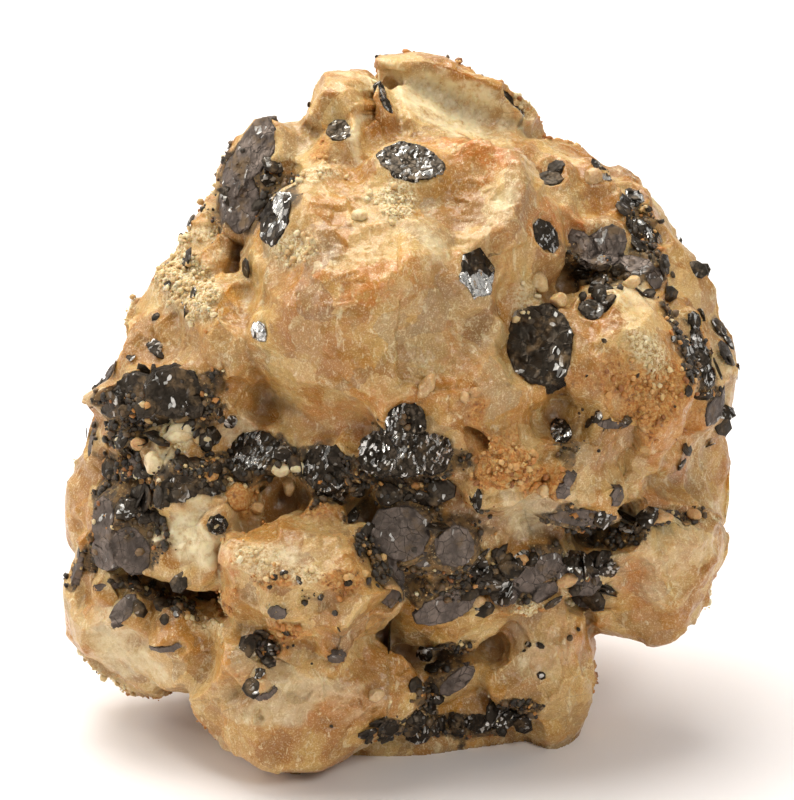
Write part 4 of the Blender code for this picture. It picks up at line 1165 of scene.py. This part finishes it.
class STONE_PG_settings(bpy.types.PropertyGroup):
    voxel: FloatProperty(name="Voxel", description="Width of the squares of the stone's skin, in millimetres",
                         default=0.21, min=0.1, max=1.0)
    taper: FloatProperty(name="Taper", description="How much finer the skin is in front", default=0.30)
    crevice: FloatProperty(name="Crevice depth", description="How much deeper valleys are, in millimetres",
                           default=0.38)
    crispness: FloatProperty(name="Crispness", description="How sharply a lump's flats meet", default=70.0)
    warp: FloatProperty(name="Warp", description="How far the lumps are bent, in millimetres", default=0.55)
    facet: FloatProperty(name="Scar width", description="Width of the largest scars, in millimetres",
                         default=4.4)
    tilt: FloatProperty(name="Scar tilt", description="Slope of the scars", default=0.32)
    grain: FloatProperty(name="Grain height", description="Height of grains in rust, in millimetres",
                         default=0.15)
    glow: FloatProperty(name="Glow", description="Share of the light that enters", default=0.35,
                        subtype="FACTOR")
    honey: FloatVectorProperty(name="Honey", description="Colour of the clear body", subtype="COLOR",
                               default=(0.385, 0.165, 0.030))
    pale: FloatVectorProperty(name="Pale", description="Colour of the cloudy body", subtype="COLOR",
                              default=(0.54, 0.330, 0.096))
    white: FloatVectorProperty(name="Milk", description="Colour of the milky streaks", subtype="COLOR",
                               default=(0.78, 0.67, 0.42))
    rust: FloatVectorProperty(name="Rust", description="Colour of the iron stain", subtype="COLOR",
                              default=(0.44, 0.155, 0.022))


class CRYSTAL_PG_settings(bpy.types.PropertyGroup):
    voxel: FloatProperty(name="Voxel", description="Width of the squares of a crystal's skin, in millimetres",
                         default=0.10, min=0.05, max=0.5)
    body: FloatVectorProperty(name="Graphite", description="Colour of the graphite", subtype="COLOR",
                              default=(0.032, 0.025, 0.018))
    worn: FloatVectorProperty(name="Worn graphite", description="Colour of rubbed graphite", subtype="COLOR",
                              default=(0.094, 0.074, 0.062))
    # The colour of the painted glints on the bare facets
    bright: FloatVectorProperty(name="Clean facet", description="Colour of clean facets", subtype="COLOR",
                                default=(0.66, 0.65, 0.62))


class GRAIN_PG_settings(bpy.types.PropertyGroup):
    rusty: IntProperty(name="Rusty grains", description="How many grains the rust has", default=2600, min=0)
    sugary: IntProperty(name="Crust grains", description="How many grains the crust has", default=3000, min=0)
    crumbs: IntProperty(name="Crumbs", description="How many graphite crumbs there are", default=4200, min=0)


class STAGE_PG_settings(bpy.types.PropertyGroup):
    floor: FloatVectorProperty(name="Floor", description="Colour of the floor and backdrop", subtype="COLOR",
                               default=(0.90, 0.875, 0.885))
    key: FloatProperty(name="Key light", description="Power of the overhead light", default=1.87,
                       unit="POWER")
    fill: FloatProperty(name="Fill light", description="Power of the front light", default=0.62, unit="POWER")
    room: FloatProperty(name="Room light", description="Brightness of the room behind", default=1.0)
    dim: FloatProperty(name="Dim side", description="Brightness of the room on the viewer's side",
                       default=0.165)


class SPECIMEN_OT_stone(bpy.types.Operator):
    """Make the stone with its relief, stains and material"""
    bl_idname = "specimen.stone"
    bl_label = "Quartz and feldspar stone"

    def execute(self, context):
        settings = context.scene.specimen_stone
        surface = grow_stone(settings)
        material = quartz_material(settings)
        # Painted contact shade: darker within about a millimetre of a crystal
        contact_shade = 1 - smooth_step(surface.gap, 0.05, 1.1)
        values = {**surface.weights, "hollow": surface.hollow, "valley": surface.valley, "contact_shade": contact_shade}
        for name, chosen in stone_parts(surface).items():
            core = MIDDLE + (-4 if name == "stone_back" else 8) * SIGHT
            points, faces, used = closed_part(surface.points, surface.faces, chosen, core)
            mesh = mesh_from(name, points, faces)
            mesh.polygons.foreach_set("use_smooth", np.ones(len(mesh.polygons), bool))
            mesh.normals_split_custom_set_from_vertices(np.vstack((surface.normals[used], -SIGHT)))
            put_attributes(mesh, {key: np.append(value[used], 0) for key, value in values.items()})
            finished(name, mesh, material, "stained_quartz", ["matrix"])
        return {"FINISHED"}


class SPECIMEN_OT_crystals(bpy.types.Operator):
    """Make each graphite crystal or group from its solid, with its own wear"""
    bl_idname = "specimen.crystals"
    bl_label = "Graphite crystals"

    def execute(self, context):
        settings = context.scene.specimen_crystals
        finishes = {name: graphite_material(name, settings) for name in FINISHES if name != "flake_graphite"}
        slots = {part["node"]: part["material_slot"] for part in frame["record"]["subparts"]}
        look_names = {node: key for key, nodes in LOOK_OF.items() for node in nodes}
        for i, name in enumerate(crystal_names()):
            look = LOOKS[look_names.get(name, "matte")]
            points, faces, places = crystal_skin(name, settings.voxel, look, 500 + 20 * i)
            mesh = mesh_from(name + "_crystal", points, faces)
            mesh.polygons.foreach_set("use_smooth", np.ones(len(mesh.polygons), bool))
            mesh.set_sharp_from_angle(angle=math.radians(30))
            put_attributes(mesh, places)
            finished(name + "_crystal", mesh, finishes[look.finish], slots[name], [name])
        return {"FINISHED"}


def inside(points):
    """Keeps points within the solids' box."""
    low, high = (np.array(corner) / MM for corner in CAD_BOX)
    np.clip(points, low, high, out=points)


def spots(scatter, surface, rng):
    """Vertices of the stone that a viewer from the scatter's azimuth sees first, near random sight lines."""
    c, s = math.cos(math.radians(-scatter.azimuth)), math.sin(math.radians(-scatter.azimuth))
    spin = np.array(((c, -s, 0), (s, c, 0), (0, 0, 1)))
    seen = (surface.points - MIDDLE) @ (spin @ LAYOUT)
    faced = (surface.normals @ (spin @ SIGHT) < -0.35) & (surface.gap > 0.3)
    found = []
    for _ in range(scatter.count):
        a = scatter.across + scatter.wide * rng.uniform(-1, 1)
        u = scatter.up + scatter.tall * rng.uniform(-1, 1)
        near = np.flatnonzero((np.abs(seen[:, 0] - a) < 0.35) & (np.abs(seen[:, 1] - u) < 0.35))
        if len(near):
            first = near[seen[near, 2].argmin()]
            if faced[first]:
                found.append(first)
    return found


def frames_on(normals, rng, slant):
    """Axes on the surface, three rows each: along, across and outwards, leant by up to a slant and spun."""
    n = normals + rng.uniform(-slant, slant, normals.shape)
    n /= np.linalg.norm(n, axis=1)[:, None]
    other = rng.uniform(-1, 1, normals.shape)
    x = np.cross(n, other)
    x /= np.linalg.norm(x, axis=1)[:, None]
    return np.stack((x, np.cross(n, x), n), axis=1)


def flake_points(places, axes, half, thick, rng, sides=7):
    """Thin plates: for each, a lower ring, a smaller upper ring and a middle point on each face. A corner's
    distance from the middle is uneven, and the faces between follow the two parameters ring and side."""
    count = len(places)
    turn = math.tau * np.arange(sides) / sides
    uneven = rng.uniform(0.78, 1.08, (count, sides))
    ratio = rng.uniform(0.6, 1.0, count)
    x = np.cos(turn) * uneven * half[:, None]
    y = np.sin(turn) * uneven * (half * ratio)[:, None]
    zero = np.zeros((count, 1))
    local = np.concatenate((
        np.stack((x, y, -thick[:, None] + 0 * x), axis=2),
        np.stack((x * 0.9, y * 0.9, thick[:, None] + 0 * x), axis=2),
        np.stack((zero, zero, -thick[:, None]), axis=2),
        np.stack((zero, zero, thick[:, None] + rng.uniform(-0.02, 0.05, (count, 1))), axis=2),
    ), axis=1)
    points = np.einsum("nkj,nji->nki", local, axes) + places[:, None]
    i = np.arange(sides)
    j = (i + 1) % sides
    low, high = 2 * sides, 2 * sides + 1
    faces = np.vstack((
        np.stack((i, j, sides + j, sides + i), axis=1),
        np.stack((np.full(sides, low), j, i, i), axis=1),
        np.stack((np.full(sides, high), sides + i, sides + j, sides + j), axis=1),
    ))
    total = 2 * sides + 2
    return points.reshape(-1, 3), (faces[None] + total * np.arange(count)[:, None, None]).reshape(-1, 4)


class SPECIMEN_OT_flakes(bpy.types.Operator):
    """Scatter the small graphite flakes over the stone"""
    bl_idname = "specimen.flakes"
    bl_label = "Graphite flakes"

    def execute(self, context):
        surface = StoneSurface
        rng = np.random.RandomState(71)
        at, half = [], []
        for scatter in SCATTERS:
            found = spots(scatter, surface, rng)
            at.extend(found)
            half.extend(1.25 * rng.uniform(scatter.small, scatter.large, len(found)))
        at, half = np.array(at), np.array(half)
        axes = frames_on(surface.normals[at], rng, 0.5)
        thick = np.clip(0.05 * half, 0.025, 0.05)
        lift = 0.08 + 0.16 * half * rng.uniform(0, 1, len(at))
        places = surface.points[at] + surface.normals[at] * lift[:, None]
        points, faces = flake_points(places, axes, half, thick, rng)
        inside(points)
        mesh = mesh_from("graphite_flakes", points, faces)
        each = len(points) // len(at)
        local = np.repeat(axes, each, axis=0)
        put_attributes(mesh, {
            "plate_u": (points * local[:, 0]).sum(axis=1), "plate_v": (points * local[:, 1]).sum(axis=1),
            "below": np.zeros(len(points)), "rim": np.zeros(len(points)),
            # how much of each flake's facets is painted bright as glints
            "clean": np.repeat(rng.choice((0.04, 0.10, 0.30), len(at)), each),
        })
        material = graphite_material("flake_graphite", context.scene.specimen_crystals)
        finished("graphite_flakes", mesh, material, "dull_graphite")
        return {"FINISHED"}


def icosahedron():
    """The twelve corners and twenty faces of a regular icosahedron of radius one."""
    g = (1 + math.sqrt(5)) / 2
    corners = np.array([(-1, g, 0), (1, g, 0), (-1, -g, 0), (1, -g, 0), (0, -1, g), (0, 1, g), (0, -1, -g),
                        (0, 1, -g), (g, 0, -1), (g, 0, 1), (-g, 0, -1), (-g, 0, 1)], float)
    corners /= np.linalg.norm(corners[0])
    faces = np.array([(0, 11, 5), (0, 5, 1), (0, 1, 7), (0, 7, 10), (0, 10, 11),
                      (1, 5, 9), (5, 11, 4), (11, 10, 2), (10, 7, 6), (7, 1, 8),
                      (3, 9, 4), (3, 4, 2), (3, 2, 6), (3, 6, 8), (3, 8, 9),
                      (4, 9, 5), (2, 4, 11), (6, 2, 10), (8, 6, 7), (9, 8, 1)])
    return corners, np.hstack((faces, faces[:, 2:]))


def grain_points(surface, weight, count, small, large, rng):
    """Angular grains: copies of an icosahedron with uneven corners, spun and squashed, half sunk in the stone
    where the weight is high."""
    chance = weight * (surface.gap > 0.3) * (surface.points[:, 2] > 0.6)
    at = rng.choice(len(chance), count, p=chance / chance.sum())
    corners, faces = icosahedron()
    size = small + (large - small) * rng.uniform(0, 1, count) ** 3
    axes = frames_on(surface.normals[at], rng, 1.0)
    stretch = rng.uniform(0.6, 1.2, (count, 1, 3)) * size[:, None, None]
    local = corners[None] * rng.uniform(0.75, 1.15, (count, 12, 1)) * stretch
    drift = rng.uniform(-0.15, 0.15, (count, 3))
    places = surface.points[at] + drift + surface.normals[at] * (0.25 * size)[:, None]
    points = np.einsum("nkj,nji->nki", local, axes) + places[:, None]
    each = (faces[None] + 12 * np.arange(count)[:, None, None]).reshape(-1, 4)
    return points.reshape(-1, 3), each, np.repeat(rng.uniform(0, 1, count), 12)


def grain_material(name, dark, middle, light):
    r = Recipe(name)
    at = r.millimetres()
    tone = r.attribute("tone")
    colour = r.mix(r.span(tone, 0.0, 0.5), dark, middle)
    colour = r.mix(r.span(tone, 0.5, 1.0), colour, light)
    colour = r.tint(colour, middle, r.noise(at, 0.2, 3.0), 0.5)
    r.surface(base_color=colour, roughness=0.5, normal=r.bump(r.noise(at, 0.12, 3.0), 0.03))
    r.let_light_in(0.25, 0.6)
    return r.material


class SPECIMEN_OT_grains(bpy.types.Operator):
    """Scatter rusty grains in the stained patches and pale sugary grains in the crust"""
    bl_idname = "specimen.grains"
    bl_label = "Rusty and sugary grains"

    def execute(self, context):
        surface = StoneSurface
        settings = context.scene.specimen_grains
        rng = np.random.RandomState(73)
        grime_and_shade = surface.weights["grime_and_shade"]
        kinds = (
            ("rusty_grains", surface.weights["rust"] ** 3 + 0.25 * grime_and_shade ** 2, settings.rusty, 0.06, 0.34,
             ((0.16, 0.05, 0.012), (0.46, 0.20, 0.045), (0.62, 0.42, 0.18))),
            ("sugary_grains", surface.weights["crust"] ** 2 + 0.06 * grime_and_shade ** 2, settings.sugary, 0.06, 0.32,
             ((0.42, 0.25, 0.09), (0.66, 0.50, 0.26), (0.80, 0.70, 0.48))),
            ("graphite_crumbs", grime_and_shade ** 2, settings.crumbs, 0.07, 0.38,
             ((0.012, 0.009, 0.006), (0.040, 0.029, 0.017), (0.20, 0.12, 0.05))),
        )
        for name, weight, count, small, large, colours in kinds:
            points, faces, tone = grain_points(surface, weight, count, small, large, rng)
            inside(points)
            mesh = mesh_from(name, points, faces)
            put_attributes(mesh, {"tone": tone})
            slot = "dull_graphite" if name == "graphite_crumbs" else "stained_quartz"
            finished(name, mesh, grain_material(name, *colours), slot)
        return {"FINISHED"}


class SPECIMEN_OT_pebbles(bpy.types.Operator):
    """Make the small quartz pebbles and stubby crystals that stand on the stone"""
    bl_idname = "specimen.pebbles"
    bl_label = "Quartz pebbles"

    def execute(self, context):
        surface = StoneSurface
        points, faces, count = [], [], 0
        milk, rust = [], []
        for i, pebble in enumerate(PEBBLES):
            far = np.hypot(surface.layout[:, 0] - pebble.across, surface.layout[:, 1] - pebble.up)
            near = np.flatnonzero(far < 0.5)
            back = surface.layout[near, 2].min() + 0.5 * pebble.deep
            lump = Lump("pebble", pebble.across, pebble.up, back, pebble.wide, pebble.tall, pebble.deep,
                        pebble.turn, 0, 14)
            p, f = lump_surface(lump, 300 + i, 60.0)
            points.append(p + noise_vector(p, 0.7, 97) * 0.10)
            faces.append(f + count)
            count += len(p)
            milk.append(np.full(len(p), pebble.milk))
            rust.append(np.full(len(p), pebble.rust))
        points, faces = np.vstack(points), np.vstack(faces)
        inside(points)
        mesh = mesh_from("quartz_pebbles", points, faces)
        put_attributes(mesh, {"milk": np.concatenate(milk), "rust": np.concatenate(rust)})
        mesh.polygons.foreach_set("use_smooth", np.ones(len(mesh.polygons), bool))
        finished("quartz_pebbles", mesh, bpy.data.materials["honey_quartz"], "stained_quartz")
        return {"FINISHED"}


class SPECIMEN_OT_stage(bpy.types.Operator):
    """Set the camera, the pale floor with its backdrop and the soft lights"""
    bl_idname = "specimen.stage"
    bl_label = "Camera, floor and lights"

    def execute(self, context):
        settings = context.scene.specimen_stage
        stage_camera()
        stage_floor(tuple(settings.floor))
        stage_lights(settings)
        return {"FINISHED"}


def aimed(obj, place, target):
    """Puts a camera or lamp at a place, in metres, facing a target."""
    obj.location = place
    obj.rotation_mode = "QUATERNION"
    obj.rotation_quaternion = (Vector(target) - Vector(place)).to_track_quat("-Z", "Y")
    bpy.context.scene.collection.objects.link(obj)


def stage_camera():
    """The photograph's view: 20 degrees down, square on, from 30 cm with a long lens."""
    camera = bpy.data.cameras.new("camera")
    camera.lens = 180
    camera.clip_start = 0.01
    made = bpy.data.objects.new("camera", camera)
    target = Vector(MIDDLE * MM)
    aimed(made, target - Vector(SIGHT) * 0.3, target)
    bpy.context.scene.camera = made


def stage_floor(colour):
    """A sheet that lies flat, then curves up behind: an arc between two straight runs, carried sideways."""
    near, bend, radius, wide, tall = -0.5, 0.22, 0.2, 0.9, 0.7
    arc = np.linspace(0, math.pi / 2, 25)
    y = np.concatenate((np.linspace(near, bend, 12), bend + radius * np.sin(arc[1:]), (bend + radius,)))
    z = np.concatenate((np.zeros(12), radius * (1 - np.cos(arc[1:])), (tall,)))
    x = np.linspace(-wide, wide, 9)
    points = np.stack((np.tile(x, len(y)), np.repeat(y, len(x)), np.repeat(z, len(x))), axis=1)
    r, c = np.meshgrid(np.arange(len(y) - 1), np.arange(len(x) - 1), indexing="ij")
    first = (r * len(x) + c).ravel()
    faces = np.stack((first, first + 1, first + len(x) + 1, first + len(x)), axis=1)
    mesh = mesh_from("floor", points / MM, faces)
    mesh.polygons.foreach_set("use_smooth", np.ones(len(mesh.polygons), bool))
    recipe = Recipe("pale_floor")
    recipe.surface(base_color=(*colour, 1), roughness=0.7)
    mesh.materials.append(recipe.material)
    floor = bpy.data.objects.new("floor", mesh)
    bpy.context.scene.collection.objects.link(floor)


def stage_lights(settings):
    """A wide lamp overhead and a little behind, a weak one in front, and a white room that is dim on the
    viewer's side, so that the front of the stone and the mirror faces that look at the viewer stay dark."""
    target = Vector(MIDDLE * MM)
    lamps = (
        ("overhead_lamp", settings.key, 0.30, target + Vector((-0.06, 0.10, 0.36))),
        ("left_lamp", settings.key * 0.35, 0.22, target + Vector((-0.34, 0.02, 0.20))),
        ("front_lamp", settings.fill, 0.12, target + Vector((0.16, -0.30, 0.26))),
    )
    for name, power, size, place in lamps:
        lamp = bpy.data.lights.new(name, "AREA")
        lamp.energy = power
        lamp.size = size
        lamp.color = (1.0, 0.965, 0.90)
        aimed(bpy.data.objects.new(name, lamp), place, target)
    world = bpy.data.worlds.new("white_room")
    world.use_nodes = True
    tree = world.node_tree
    background = tree.nodes["Background"]
    background.inputs["Color"].default_value = (1.0, 0.99, 0.97, 1)
    way = tree.nodes.new("ShaderNodeTexCoord")
    split = tree.nodes.new("ShaderNodeSeparateXYZ")
    tree.links.new(way.outputs["Generated"], split.inputs[0])
    shade = tree.nodes.new("ShaderNodeMapRange")
    shade.interpolation_type = "SMOOTHSTEP"
    tree.links.new(split.outputs["Y"], shade.inputs["Value"])
    for key, value in zip(RANGE_SOCKETS[1:], (-0.45, 0.55, settings.dim, settings.room)):
        shade.inputs[key].default_value = value
    tree.links.new(shade.outputs["Result"], background.inputs["Strength"])
    bpy.context.scene.world = world
    bpy.context.scene.view_settings.view_transform = "Standard"


class SPECIMEN_PT_panel(bpy.types.Panel):
    """The specimen's pieces and settings"""
    bl_idname = "SPECIMEN_PT_panel"
    bl_label = "Graphite Specimen"
    bl_space_type = "VIEW_3D"
    bl_region_type = "UI"
    bl_category = "Specimen"

    def draw(self, context):
        for operator, group in PANEL_ROWS:
            box = self.layout.box()
            box.operator(operator.bl_idname)
            settings = getattr(context.scene, group, None)
            if settings is not None:
                for key in settings.__annotations__:
                    box.prop(settings, key)


GROUPS = {
    "specimen_stone": STONE_PG_settings,
    "specimen_crystals": CRYSTAL_PG_settings,
    "specimen_grains": GRAIN_PG_settings,
    "specimen_stage": STAGE_PG_settings,
}
PANEL_ROWS = (
    (SPECIMEN_OT_stone, "specimen_stone"),
    (SPECIMEN_OT_crystals, "specimen_crystals"),
    (SPECIMEN_OT_flakes, ""),
    (SPECIMEN_OT_grains, "specimen_grains"),
    (SPECIMEN_OT_pebbles, ""),
    (SPECIMEN_OT_stage, "specimen_stage"),
)
OPERATORS = tuple(operator for operator, _ in PANEL_ROWS)


def register():
    for cls in (*GROUPS.values(), *OPERATORS, SPECIMEN_PT_panel):
        bpy.utils.register_class(cls)
    for name, cls in GROUPS.items():
        setattr(bpy.types.Scene, name, PointerProperty(type=cls))


def unregister():
    for name in GROUPS:
        delattr(bpy.types.Scene, name)
    for cls in (SPECIMEN_PT_panel, *reversed(OPERATORS), *reversed(tuple(GROUPS.values()))):
        bpy.utils.unregister_class(cls)


def main():
    register()
    bpy.ops.specimen.stone()
    bpy.ops.specimen.crystals()
    bpy.ops.specimen.flakes()
    bpy.ops.specimen.grains()
    bpy.ops.specimen.pebbles()
    bpy.ops.specimen.stage()


if __name__ == "__main__":
    main()
